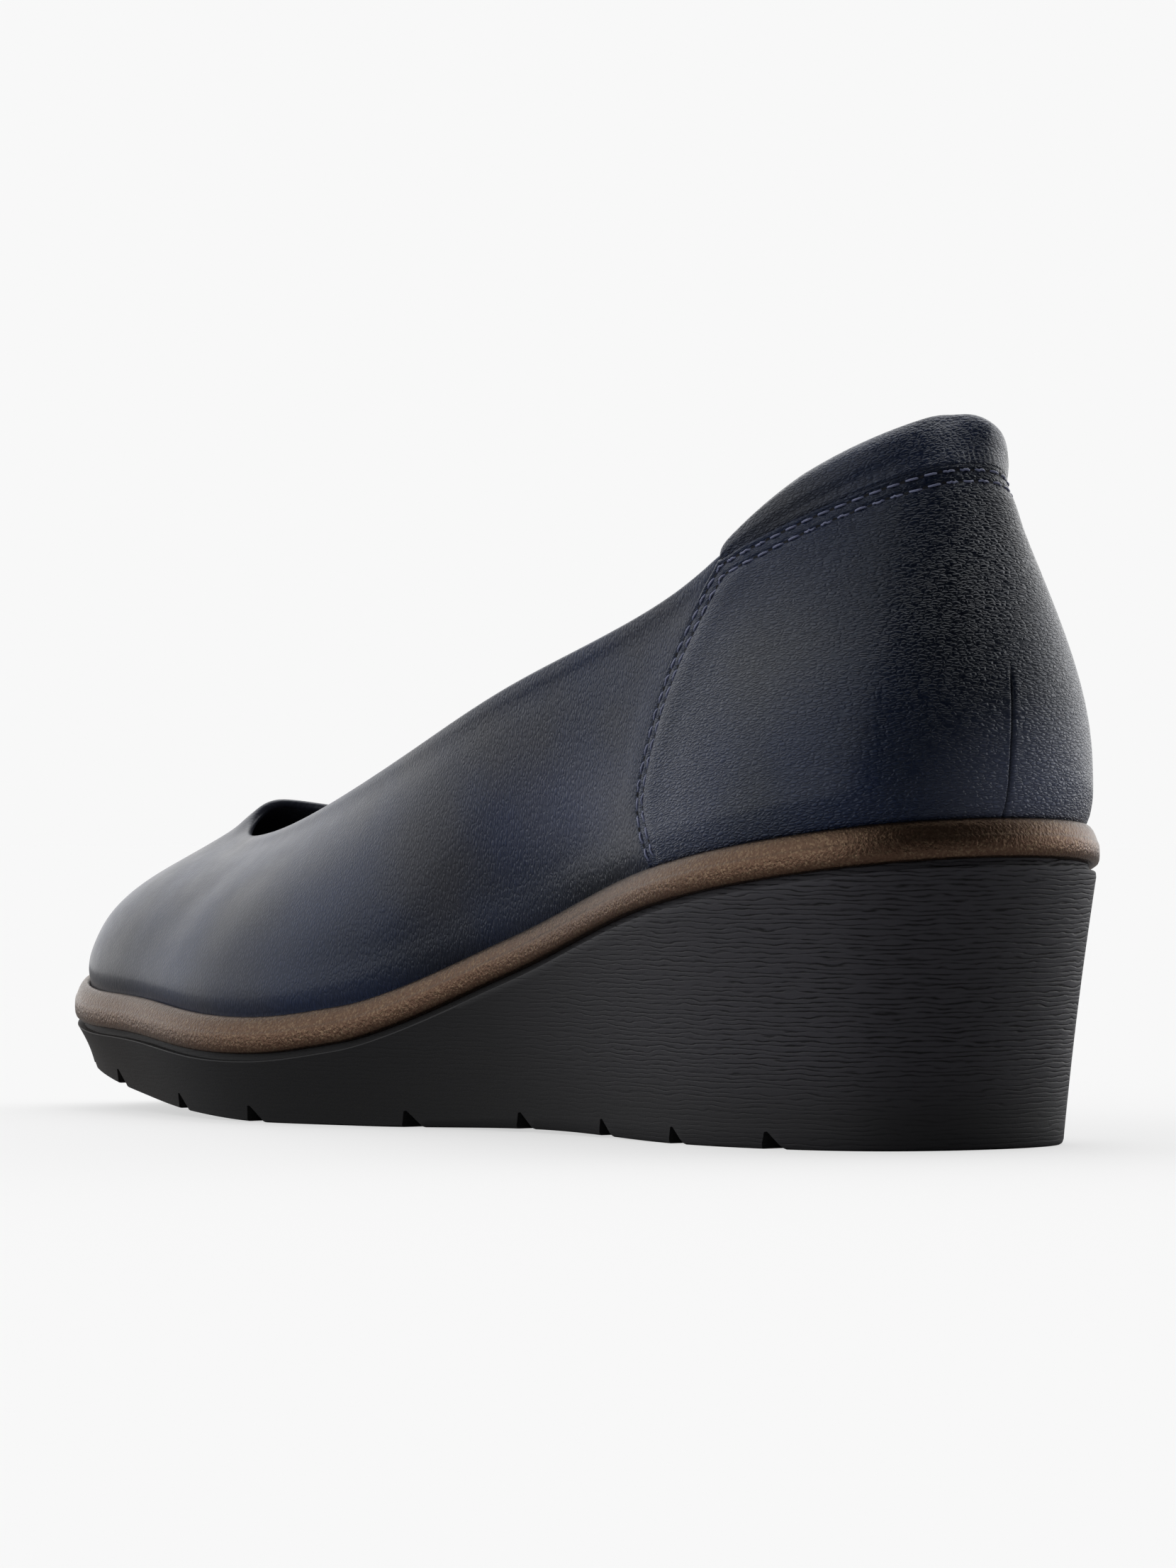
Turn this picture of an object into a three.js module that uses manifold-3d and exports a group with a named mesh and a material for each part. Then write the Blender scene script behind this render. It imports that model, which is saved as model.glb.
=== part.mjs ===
// Women's wedge pump, left shoe, in millimetres.
// X points to the shoe's right, Y to its toe and Z up. The outer side of the foot is at X below 0.
import * as THREE from "three";
import Module from "manifold-3d";

// Overall sizes
const LENGTH = 251.5;
const BALL_WIDTH = 87.2;
const HEEL_WIDTH = 69.4;
const SEAT_HEIGHT = 53.5;
const FOREFOOT_HEIGHT = 18.9;
const TOE_RISE = 7.7;
const TOE_SPRING = 13.4;
const WAIST_LIFT = 0.6;
const TOPLINE_HEIGHT = 115;

// Thicknesses and clearances
const WALL = 1.8;
const GAP = 0.3;
const RAND_THICKNESS = 6.5;
const RAND_RECESS = 2.0;
const INSOLE_THICKNESS = 3.6;
const COUNTER_THICKNESS = 1.0;
const COLLAR_PAD = 2.0;
const COLLAR_PAD_INSIDE = 3.0;

// Edges of the sole
const UPPER_INSET_HEEL = 3.4;
const UPPER_INSET_TOE = 2.7;
const RAND_BEVEL = 1.6;
const RAND_TUCK = 0.5;
const WEDGE_LIP_INSET = 0.5;
const WEDGE_GROOVE_HEIGHT = 1.0;
const WEDGE_GROOVE_DEPTH = 1.3;
const WEDGE_TAPER_HEEL = 6.1;
const WEDGE_TAPER_TOE = 3.5;

// Tread notches across the sole
const NOTCH_DEPTH = 3.0;
const NOTCH_WIDTH = 4.6;
const NOTCHES = [0.117, 0.21, 0.303, 0.403, 0.505, 0.642, 0.738, 0.851, 0.918];

// Heel panel and collar
const COLLAR_BAND = 4.6;
const COLLAR_EDGE = 0.9;
const COLLAR_LINING_DROP = 16;

// Mesh density
const ROUND = 96;
const WALL_STEPS = 12;
const LINING_STEPS = 8;

// One row per station round the shoe, from the heel's back along the outer side to the toe and home.
// wide: the width the X shares are taken of; outX, outY: sole edge; topX, topY, topZ: topline, its
// height a share from forefoot height to topline height;
// footLean, footPull: how the wall leaves the sole; edgeLean, edgePull: how it reaches the topline.
const STATIONS = [
  { at: "heel back", wide: HEEL_WIDTH, outX: 0, outY: 0, topX: 0, topY: 0.056, topZ: 1,
    footLean: 12, footPull: 0.4, edgeLean: 84, edgePull: 0.28 },
  { at: "outer heel corner", wide: HEEL_WIDTH, outX: -0.7, outY: 0.035, topX: -0.285, topY: 0.068, topZ: 0.971,
    footLean: 10, footPull: 0.4, edgeLean: 84, edgePull: 0.28 },
  { at: "outer heel", wide: HEEL_WIDTH, outX: -1, outY: 0.13, topX: -0.64, topY: 0.135, topZ: 0.868,
    footLean: 5, footPull: 0.35, edgeLean: 82, edgePull: 0.3 },
  { at: "outer quarter", wide: HEEL_WIDTH, outX: -0.97, outY: 0.25, topX: -0.76, topY: 0.225, topZ: 0.7315,
    footLean: 2, footPull: 0.35, edgeLean: 84, edgePull: 0.3 },
  { at: "outer waist", wide: BALL_WIDTH, outX: -0.677, outY: 0.4, topX: -0.64, topY: 0.385, topZ: 0.592,
    footLean: 8, footPull: 0.35, edgeLean: 84, edgePull: 0.3 },
  { at: "outer joint", wide: BALL_WIDTH, outX: -0.86, outY: 0.54, topX: -0.6, topY: 0.52, topZ: 0.4745,
    footLean: 4, footPull: 0.35, edgeLean: 70, edgePull: 0.3 },
  { at: "outer ball", wide: BALL_WIDTH, outX: -1, outY: 0.66, topX: -0.5, topY: 0.65, topZ: 0.376,
    footLean: 2, footPull: 0.38, edgeLean: 52, edgePull: 0.3 },
  { at: "outer toe side", wide: BALL_WIDTH, outX: -0.86, outY: 0.82, topX: -0.38, topY: 0.76, topZ: 0.3235,
    footLean: 2, footPull: 0.38, edgeLean: 38, edgePull: 0.35 },
  { at: "outer toe corner", wide: BALL_WIDTH, outX: -0.655, outY: 0.935, topX: -0.215, topY: 0.826, topZ: 0.327,
    footLean: 2, footPull: 0.38, edgeLean: 30, edgePull: 0.38 },
  { at: "toe tip", wide: BALL_WIDTH, outX: 0.03, outY: 1, topX: -0.01, topY: 0.843, topZ: 0.372,
    footLean: 0, footPull: 0.37, edgeLean: 42, edgePull: 0.4 },
  { at: "inner toe corner", wide: BALL_WIDTH, outX: 0.64, outY: 0.94, topX: 0.2, topY: 0.82, topZ: 0.376,
    footLean: 2, footPull: 0.38, edgeLean: 38, edgePull: 0.38 },
  { at: "inner toe side", wide: BALL_WIDTH, outX: 0.88, outY: 0.84, topX: 0.37, topY: 0.755, topZ: 0.368,
    footLean: 2, footPull: 0.38, edgeLean: 40, edgePull: 0.35 },
  { at: "inner ball", wide: BALL_WIDTH, outX: 1, outY: 0.7, topX: 0.49, topY: 0.65, topZ: 0.398,
    footLean: 2, footPull: 0.38, edgeLean: 54, edgePull: 0.3 },
  { at: "inner joint", wide: BALL_WIDTH, outX: 0.83, outY: 0.55, topX: 0.58, topY: 0.52, topZ: 0.484,
    footLean: 4, footPull: 0.35, edgeLean: 70, edgePull: 0.3 },
  { at: "inner waist", wide: BALL_WIDTH, outX: 0.62, outY: 0.4, topX: 0.6, topY: 0.385, topZ: 0.6,
    footLean: 10, footPull: 0.35, edgeLean: 84, edgePull: 0.3 },
  { at: "inner quarter", wide: HEEL_WIDTH, outX: 0.93, outY: 0.25, topX: 0.74, topY: 0.225, topZ: 0.738,
    footLean: 3, footPull: 0.35, edgeLean: 84, edgePull: 0.3 },
  { at: "inner heel", wide: HEEL_WIDTH, outX: 0.99, outY: 0.13, topX: 0.6, topY: 0.137, topZ: 0.868,
    footLean: 6, footPull: 0.36, edgeLean: 82, edgePull: 0.3 },
  { at: "inner heel corner", wide: HEEL_WIDTH, outX: 0.7, outY: 0.035, topX: 0.255, topY: 0.067, topZ: 0.974,
    footLean: 12, footPull: 0.4, edgeLean: 84, edgePull: 0.28 },
];
const TIP = STATIONS.findIndex((row) => row.at === "toe tip");

// Height of the sole's upper edge: along is a share of the length, seat of the drop from heel seat
// to forefoot, toe of the toe rise.
const FEATHER = [
  { along: 0, seat: 1, toe: 0 },
  { along: 0.22, seat: 0.749, toe: 0 },
  { along: 0.4, seat: 0.405, toe: 0 },
  { along: 0.55, seat: 0.045, toe: 0 },
  { along: 0.68, seat: 0, toe: 0 },
  { along: 0.86, seat: 0, toe: 0.38 },
  { along: 1, seat: 0, toe: 1 },
];

// Height of the tread: waist is a share of the waist lift, spring of the toe spring.
const TREAD = [
  { along: 0, waist: 0, spring: 0 },
  { along: 0.2, waist: 0, spring: 0 },
  { along: 0.38, waist: 1, spring: 0 },
  { along: 0.54, waist: 0, spring: 0 },
  { along: 0.62, waist: 0, spring: 0 },
  { along: 0.72, waist: 0, spring: 0.1 },
  { along: 0.82, waist: 0, spring: 0.315 },
  { along: 0.91, waist: 0, spring: 0.61 },
  { along: 1, waist: 0, spring: 1 },
];

// Front edge of the heel panel: up is a share of the wall's height, along a share of the length.
const PANEL_EDGE = [
  { up: 0, along: 0.2205 },
  { up: 0.25, along: 0.24 },
  { up: 0.5, along: 0.231 },
  { up: 0.75, along: 0.211 },
  { up: 1, along: 0.174 },
];

const UP = new THREE.Vector3(0, 0, 1);
const radians = (degrees) => (degrees * Math.PI) / 180;
const blend = (a, b, share) => a + (b - a) * share;

// Value and slope of a cubic between two knots
function hermite(a, b, slopeA, slopeB, width, share) {
  const s2 = share * share;
  const s3 = s2 * share;
  const value =
    (2 * s3 - 3 * s2 + 1) * a +
    (s3 - 2 * s2 + share) * width * slopeA +
    (3 * s2 - 2 * s3) * b +
    (s3 - s2) * width * slopeB;
  const slope =
    ((6 * s2 - 6 * share) * (a - b)) / width +
    (3 * s2 - 4 * share + 1) * slopeA +
    (3 * s2 - 2 * share) * slopeB;
  return { value, slope };
}

// Curve through a table's rows that never overshoots a row
function alongTable(rows, key, column) {
  const last = rows.length - 1;
  const rate = [];
  for (let i = 0; i < last; i++) {
    rate.push((rows[i + 1][column] - rows[i][column]) / (rows[i + 1][key] - rows[i][key]));
  }
  const slopes = rows.map((row, i) => {
    if (i === 0) return rate[0];
    if (i === last) return rate[last - 1];
    if (rate[i - 1] * rate[i] <= 0) return 0;
    return (2 * rate[i - 1] * rate[i]) / (rate[i - 1] + rate[i]);
  });
  return (place) => {
    const at = Math.min(Math.max(place, rows[0][key]), rows[last][key]);
    let i = 0;
    while (i < last - 1 && at > rows[i + 1][key]) i++;
    const width = rows[i + 1][key] - rows[i][key];
    const share = (at - rows[i][key]) / width;
    return hermite(rows[i][column], rows[i + 1][column], slopes[i], slopes[i + 1], width, share).value;
  };
}

// Distance round the sole edge at each station, measured straight from one station to the next
const edgePoint = (row) => new THREE.Vector2((row.outX * row.wide) / 2, row.outY * LENGTH);
const travel = [0];
STATIONS.forEach((row, i) => {
  const next = STATIONS[(i + 1) % STATIONS.length];
  travel.push(travel[i] + edgePoint(row).distanceTo(edgePoint(next)));
});
const LAP = travel[STATIONS.length];
const TIP_TRAVEL = travel[TIP];

// Smooth closed curve of one station value; the slopes settle by repeated sweeps
function roundStations(pick) {
  const count = STATIONS.length;
  const values = STATIONS.map(pick);
  const widths = STATIONS.map((row, i) => travel[i + 1] - travel[i]);
  const rate = values.map((v, i) => (values[(i + 1) % count] - v) / widths[i]);
  const slopes = rate.slice();
  for (let sweep = 0; sweep < 40; sweep++) {
    for (let i = 0; i < count; i++) {
      const before = (i + count - 1) % count;
      const after = (i + 1) % count;
      const pull = 3 * (widths[i] * rate[before] + widths[before] * rate[i]);
      const sides = widths[i] * slopes[before] + widths[before] * slopes[after];
      slopes[i] = (pull - sides) / (2 * (widths[before] + widths[i]));
    }
  }
  return (place) => {
    const at = ((place % LAP) + LAP) % LAP;
    let i = 0;
    while (i < count - 1 && at > travel[i + 1]) i++;
    const after = (i + 1) % count;
    const share = (at - travel[i]) / widths[i];
    return hermite(values[i], values[after], slopes[i], slopes[after], widths[i], share);
  };
}

const edgeX = roundStations((row) => (row.outX * row.wide) / 2);
const edgeY = roundStations((row) => row.outY * LENGTH);
const topX = roundStations((row) => (row.topX * row.wide) / 2);
const topY = roundStations((row) => row.topY * LENGTH);
const topZ = roundStations((row) => blend(FOREFOOT_HEIGHT, TOPLINE_HEIGHT, row.topZ));
const footLean = roundStations((row) => radians(row.footLean));
const footPull = roundStations((row) => row.footPull);
const edgeLean = roundStations((row) => radians(row.edgeLean));
const edgePull = roundStations((row) => row.edgePull);

const seatShare = alongTable(FEATHER, "along", "seat");
const toeShare = alongTable(FEATHER, "along", "toe");
const waistShare = alongTable(TREAD, "along", "waist");
const springShare = alongTable(TREAD, "along", "spring");
const seatDrop = SEAT_HEIGHT - FOREFOOT_HEIGHT;
const featherHeight = (y) =>
  FOREFOOT_HEIGHT + seatShare(y / LENGTH) * seatDrop + toeShare(y / LENGTH) * TOE_RISE;
const treadHeight = (y) => waistShare(y / LENGTH) * WAIST_LIFT + springShare(y / LENGTH) * TOE_SPRING;

// Direction straight out of the sole edge, level
function outward(place) {
  const dx = edgeX(place).slope;
  const dy = edgeY(place).slope;
  const size = Math.hypot(dx, dy);
  return new THREE.Vector3(-dy / size, dx / size, 0);
}

// Point a given distance inside the sole edge, at a height that follows the length
function ringPoint(place, inset, height) {
  const point = new THREE.Vector3(edgeX(place).value, edgeY(place).value, 0);
  point.addScaledVector(outward(place), -inset);
  point.z = height(point.y);
  return point;
}

// Places round the shoe, as many on the outer side as on the inner
const PLACES = [];
for (let i = 0; i < ROUND; i++) {
  const half = ROUND / 2;
  if (i < half) PLACES.push((TIP_TRAVEL * i) / half);
  else PLACES.push(TIP_TRAVEL + ((LAP - TIP_TRAVEL) * (i - half)) / half);
}

// Inset that runs evenly from one value at the heel to another at the toe
const graded = (heel, toe) => (place) => blend(heel, toe, edgeY(place).value / LENGTH);
const ring = (inset, height) => PLACES.map((place) => ringPoint(place, inset(place), height));
const level = (inset) => () => inset;
const upperInset = graded(UPPER_INSET_HEEL, UPPER_INSET_TOE);

// Outer face of the upper: up runs from the sole at 0 to the topline at 1
function wallPoint(place, up) {
  const foot = ringPoint(place, upperInset(place), featherHeight);
  const top = new THREE.Vector3(topX(place).value, topY(place).value, topZ(place).value);
  const chord = foot.distanceTo(top);
  const out = outward(place);
  const lean = footLean(place).value;
  const low = foot
    .clone()
    .addScaledVector(out, Math.sin(lean) * footPull(place).value * chord)
    .addScaledVector(UP, Math.cos(lean) * footPull(place).value * chord);
  const tilt = edgeLean(place).value;
  const high = top
    .clone()
    .addScaledVector(out, Math.cos(tilt) * edgePull(place).value * chord)
    .addScaledVector(UP, -Math.sin(tilt) * edgePull(place).value * chord);
  const rest = 1 - up;
  return new THREE.Vector3()
    .addScaledVector(foot, rest * rest * rest)
    .addScaledVector(low, 3 * rest * rest * up)
    .addScaledVector(high, 3 * rest * up * up)
    .addScaledVector(top, up * up * up);
}

// Direction straight out of the upper's face
function wallNormal(place, up) {
  const step = 0.02;
  const low = Math.max(up - step, 0);
  const high = Math.min(up + step, 1);
  const climb = wallPoint(place, high).sub(wallPoint(place, low));
  const round = wallPoint(place + 1, up).sub(wallPoint(place - 1, up));
  return climb.cross(round).normalize();
}

const wallOffset = (place, up, distance) => wallPoint(place, up).addScaledVector(wallNormal(place, up), distance);

// Point on a path that runs round the upper's folded edge, turn 0 outside to 1 inside
function foldPoint(place, turn, distance) {
  const normal = wallNormal(place, 1);
  const climb = wallPoint(place, 1).sub(wallPoint(place, 0.96)).normalize();
  const angle = Math.PI * turn;
  return wallOffset(place, 1, -WALL / 2)
    .addScaledVector(normal, Math.cos(angle) * (WALL / 2 + distance))
    .addScaledVector(climb, Math.sin(angle) * (WALL / 2 + distance));
}

// Closed mesh from points and triangles
function bodyOf(points, triangles) {
  const geometry = new THREE.BufferGeometry();
  const flat = points.flatMap((p) => [p.x, p.y, p.z]);
  geometry.setAttribute("position", new THREE.Float32BufferAttribute(flat, 3));
  geometry.setIndex(triangles);
  geometry.computeVertexNormals();
  return geometry;
}

// Rungs that close a ring of points from the heel's back to the toe tip
function rungs(start, facingUp, triangles) {
  const half = ROUND / 2;
  for (let i = 0; i < half; i++) {
    const left = start + i;
    const leftNext = start + i + 1;
    const right = start + ((ROUND - i) % ROUND);
    const rightNext = start + ROUND - i - 1;
    const faces = [];
    if (i > 0) faces.push([left, leftNext, right]);
    if (i < half - 1) faces.push([leftNext, rightNext, right]);
    if (i === 0) faces.splice(0, faces.length, [left, leftNext, rightNext]);
    for (const [a, b, c] of faces) {
      if (facingUp) triangles.push(a, c, b);
      else triangles.push(a, b, c);
    }
  }
}

// Solid from stacked rings, first ring below and last ring above, both closed
function stackedBody(rings) {
  const points = rings.flat();
  const triangles = [];
  for (let k = 0; k < rings.length - 1; k++) {
    for (let i = 0; i < ROUND; i++) {
      const next = (i + 1) % ROUND;
      const a = k * ROUND + i;
      const b = k * ROUND + next;
      const c = (k + 1) * ROUND + next;
      const d = (k + 1) * ROUND + i;
      triangles.push(a, c, b, a, d, c);
    }
  }
  rungs(0, false, triangles);
  rungs((rings.length - 1) * ROUND, true, triangles);
  return bodyOf(points, triangles);
}

// Solid from rings joined in a loop, so it stays open above and below
function loopedBody(rings) {
  const points = rings.flat();
  const triangles = [];
  for (let k = 0; k < rings.length; k++) {
    const kNext = (k + 1) % rings.length;
    for (let i = 0; i < ROUND; i++) {
      const next = (i + 1) % ROUND;
      const a = k * ROUND + i;
      const b = k * ROUND + next;
      const c = kNext * ROUND + next;
      const d = kNext * ROUND + i;
      triangles.push(a, c, b, a, d, c);
    }
  }
  return bodyOf(points, triangles);
}

// Solid between two matching grids, outer face and inner face, closed round its rim
function patchBody(outer, inner) {
  const rows = outer.length;
  const columns = outer[0].length;
  const points = [...outer.flat(), ...inner.flat()];
  const behind = rows * columns;
  const triangles = [];
  const quad = (a, b, c, d) => triangles.push(a, b, c, a, c, d);
  const at = (row, column) => row * columns + column;
  for (let r = 0; r < rows - 1; r++) {
    for (let c = 0; c < columns - 1; c++) {
      quad(at(r, c), at(r + 1, c), at(r + 1, c + 1), at(r, c + 1));
      quad(behind + at(r, c), behind + at(r, c + 1), behind + at(r + 1, c + 1), behind + at(r + 1, c));
    }
  }
  for (let r = 0; r < rows - 1; r++) {
    const end = columns - 1;
    quad(at(r, 0), behind + at(r, 0), behind + at(r + 1, 0), at(r + 1, 0));
    quad(at(r + 1, end), behind + at(r + 1, end), behind + at(r, end), at(r, end));
  }
  for (let c = 0; c < columns - 1; c++) {
    const end = rows - 1;
    quad(at(0, c + 1), behind + at(0, c + 1), behind + at(0, c), at(0, c));
    quad(at(end, c), behind + at(end, c), behind + at(end, c + 1), at(end, c + 1));
  }
  return bodyOf(points, triangles);
}

const wasm = await Module();
wasm.setup();

// Solid form of a mesh for joining and cutting
function solidOf(geometry) {
  const mesh = new wasm.Mesh({
    numProp: 3,
    vertProperties: new Float32Array(geometry.getAttribute("position").array),
    triVerts: new Uint32Array(geometry.getIndex().array),
  });
  return new wasm.Manifold(mesh);
}

// Mesh of a joined or cut solid
function meshOf(solid) {
  const mesh = solid.getMesh();
  const geometry = new THREE.BufferGeometry();
  const places = new Float32Array((mesh.vertProperties.length / mesh.numProp) * 3);
  for (let i = 0; i < places.length / 3; i++) {
    for (let k = 0; k < 3; k++) places[i * 3 + k] = mesh.vertProperties[i * mesh.numProp + k];
  }
  geometry.setAttribute("position", new THREE.BufferAttribute(places, 3));
  geometry.setIndex(new THREE.BufferAttribute(new Uint32Array(mesh.triVerts), 1));
  geometry.computeVertexNormals();
  return geometry;
}

// Wedge sole: tread, tapered side, lip and the groove under the rand
const wedgeTop = (y) => featherHeight(y) - RAND_THICKNESS - GAP;
const wedgeTaper = graded(WEDGE_TAPER_HEEL, WEDGE_TAPER_TOE);
const sideHeight = (share) => (y) => blend(treadHeight(y), wedgeTop(y) - WEDGE_GROOVE_HEIGHT, share);
const sideInset = (share) => (place) => blend(wedgeTaper(place), WEDGE_LIP_INSET, share);
const grooveInset = level(WEDGE_LIP_INSET + WEDGE_GROOVE_DEPTH);
const wedgeWhole = stackedBody([
  ring(sideInset(0), sideHeight(0)),
  ring(sideInset(0.25), sideHeight(0.25)),
  ring(sideInset(0.5), sideHeight(0.5)),
  ring(sideInset(0.75), sideHeight(0.75)),
  ring(sideInset(1), sideHeight(1)),
  ring(grooveInset, (y) => wedgeTop(y) - WEDGE_GROOVE_HEIGHT + GAP),
  ring(grooveInset, wedgeTop),
]);

// Notch: a long three-cornered bar across the tread, steep toward the toe
function notchBar(share) {
  const y = share * LENGTH;
  const z = treadHeight(y);
  const slope = (treadHeight(y + 1) - treadHeight(y - 1)) / 2;
  const reach = BALL_WIDTH;
  const drop = 1;
  const corners = [
    [-NOTCH_WIDTH * 0.75 - drop, -drop],
    [NOTCH_WIDTH * 0.25 + drop * 0.3, -drop],
    [0, NOTCH_DEPTH],
  ];
  const points = [];
  for (const x of [-reach, reach]) {
    for (const [dy, dz] of corners) points.push(new THREE.Vector3(x, y + dy, z + dy * slope + dz));
  }
  const triangles = [0, 2, 1, 3, 4, 5, 0, 1, 4, 0, 4, 3, 1, 2, 5, 1, 5, 4, 2, 0, 3, 2, 3, 5];
  return bodyOf(points, triangles);
}

let wedgeSolid = solidOf(wedgeWhole);
for (const share of NOTCHES) wedgeSolid = wedgeSolid.subtract(solidOf(notchBar(share)));

// Rand: midsole plate with a bevelled, slightly tucked edge and a recess for the upper
const randBottom = (y) => featherHeight(y) - RAND_THICKNESS;
const randFloor = (y) => featherHeight(y) - RAND_RECESS;
const lipInset = (place) => upperInset(place) - GAP;
const rand = stackedBody([
  ring(level(WEDGE_LIP_INSET + RAND_TUCK), randBottom),
  ring(level(RAND_TUCK), (y) => randBottom(y) + RAND_BEVEL / 2),
  ring(level(0), (y) => featherHeight(y) - RAND_BEVEL * 1.4),
  ring(level(RAND_BEVEL * 0.35), (y) => featherHeight(y) - RAND_BEVEL * 0.5),
  ring(level(RAND_BEVEL), featherHeight),
  ring(lipInset, featherHeight),
  ring(lipInset, randFloor),
]);

// Insole inside the upper, on the rand's floor
const insoleInset = (place) => upperInset(place) + WALL + GAP * 2;
const insoleBottom = (y) => randFloor(y) + GAP;
const insole = stackedBody([
  ring(insoleInset, insoleBottom),
  ring(insoleInset, (y) => insoleBottom(y) + INSOLE_THICKNESS * 0.7),
  ring((place) => insoleInset(place) + INSOLE_THICKNESS * 0.3, (y) => insoleBottom(y) + INSOLE_THICKNESS),
]);

// Upper: outer face, folded edge and lining face in one hollow shell
const footHeight = (y) => randFloor(y) + GAP;
const upperRings = [];
upperRings.push(ring(upperInset, footHeight));
for (let k = 0; k <= WALL_STEPS; k++) {
  upperRings.push(PLACES.map((place) => wallPoint(place, k / WALL_STEPS)));
}
for (const turn of [0.25, 0.5, 0.75]) {
  upperRings.push(PLACES.map((place) => foldPoint(place, turn, 0)));
}
for (let k = LINING_STEPS; k >= 0; k--) {
  upperRings.push(PLACES.map((place) => wallOffset(place, k / LINING_STEPS, -WALL)));
}
upperRings.push(ring((place) => upperInset(place) + WALL, footHeight));
const upper = loopedBody(upperRings);

// Place round the shoe where the wall at a given height reaches a given length
function placeAt(up, y, from, to) {
  let near = from;
  let far = to;
  for (let k = 0; k < 40; k++) {
    const middle = (near + far) / 2;
    if (wallPoint(middle, up).y < y) near = middle;
    else far = middle;
  }
  return (near + far) / 2;
}
const panelAlong = alongTable(PANEL_EDGE, "up", "along");
const outerEdgePlace = (up) => placeAt(up, panelAlong(up) * LENGTH, 0, TIP_TRAVEL);
const innerEdgePlace = (up) => placeAt(up, panelAlong(up) * LENGTH, 0, TIP_TRAVEL - LAP);

// Share of the wall where the collar band starts, measured down from the topline
function bandStart(place, band) {
  const chord = wallPoint(place, 1).distanceTo(wallPoint(place, 0));
  return 1 - band / chord;
}

// Heel panel over the quarters, from one front edge round the back to the other
const PANEL_COLUMNS = 36;
const PANEL_ROWS = 10;
const bandTaper = (share) => Math.min(1, Math.pow(Math.sin(Math.PI * share) * 2.2, 0.8));
function panelGrid(distance) {
  const grid = [];
  for (let r = 0; r <= PANEL_ROWS; r++) {
    const line = [];
    for (let c = 0; c <= PANEL_COLUMNS; c++) {
      const share = c / PANEL_COLUMNS;
      const topPlace = blend(innerEdgePlace(0.97), outerEdgePlace(0.97), share);
      const band = COLLAR_EDGE + COLLAR_BAND * bandTaper(share);
      const up = (bandStart(topPlace, band) * r) / PANEL_ROWS;
      const place = blend(innerEdgePlace(up), outerEdgePlace(up), share);
      const point = wallOffset(place, up, distance);
      if (r === 0) point.z = featherHeight(point.y) + GAP;
      line.push(point);
    }
    grid.push(line);
  }
  return grid;
}
const counter = patchBody(panelGrid(GAP + COUNTER_THICKNESS), panelGrid(GAP));

// Padded collar that wraps the folded edge above the heel panel
const COLLAR_COLUMNS = 36;
function collarGrid(thickness) {
  const grid = [];
  const steps = [0, 0.33, 0.66, 1];
  for (const step of steps) grid.push({ part: "outside", step });
  for (const step of [0.25, 0.5, 0.75]) grid.push({ part: "fold", step });
  for (const step of steps) grid.push({ part: "inside", step });
  return grid.map(({ part, step }) => {
    const line = [];
    for (let c = 0; c <= COLLAR_COLUMNS; c++) {
      const share = c / COLLAR_COLUMNS;
      const place = blend(innerEdgePlace(0.97), outerEdgePlace(0.97), share);
      const taper = bandTaper(share);
      const pad = GAP + thickness * blend(0.35, 1, taper) * (part === "inside" ? COLLAR_PAD_INSIDE : COLLAR_PAD);
      const swell = part === "fold" ? 1 : blend(0.55, 1, Math.sin((Math.PI / 2) * (part === "inside" ? 1 - step : step)));
      const depth = GAP + (pad - GAP) * swell;
      if (part === "outside") {
        const start = bandStart(place, COLLAR_EDGE - GAP + COLLAR_BAND * taper);
        line.push(wallOffset(place, blend(start, 1, step), depth));
      } else if (part === "fold") {
        line.push(foldPoint(place, step, pad));
      } else {
        const end = bandStart(place, 3 + COLLAR_LINING_DROP * taper);
        line.push(wallOffset(place, blend(1, end, step), -WALL - depth));
      }
    }
    return line;
  });
}
const collar = patchBody(collarGrid(1), collarGrid(0));

const NAVY = 0x252c3c;
const BRONZE = 0x6b5646;
const BLACK = 0x232324;
const TAN = 0x3a3a40;

const root = new THREE.Group();
root.name = "wedge_pump";
function add(name, geometry, colour, roughness, metalness) {
  const material = new THREE.MeshStandardMaterial({ color: colour, roughness, metalness });
  material.name = name + "_material";
  const mesh = new THREE.Mesh(geometry, material);
  mesh.name = name;
  root.add(mesh);
}
add("wedge_sole", meshOf(wedgeSolid), BLACK, 0.75, 0);
add("rand", rand, BRONZE, 0.4, 0.5);
add("insole", insole, TAN, 0.8, 0);
add("upper", upper, NAVY, 0.45, 0);
add("heel_panel", counter, NAVY, 0.5, 0);
add("collar_pad", collar, NAVY, 0.5, 0);

// Centre of the sole's box on the origin
const box = new THREE.Box3().setFromObject(root);
root.position.set(-(box.min.x + box.max.x) / 2, -(box.min.y + box.max.y) / 2, -box.min.z);

export default root;
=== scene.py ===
# %% [markdown]
# This lesson dresses a women's wedge pump, a left shoe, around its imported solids.
# The solids give the true sizes. Here each piece is built again with a fine mesh from the same
# named sizes, so that seams, piping, padding and stitches can sit exactly where a maker puts them.
# Lengths below are in millimetres, and a mesh is turned to metres when it is made.

import math

import bpy
import numpy as np
from mathutils import Matrix, Vector


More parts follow.
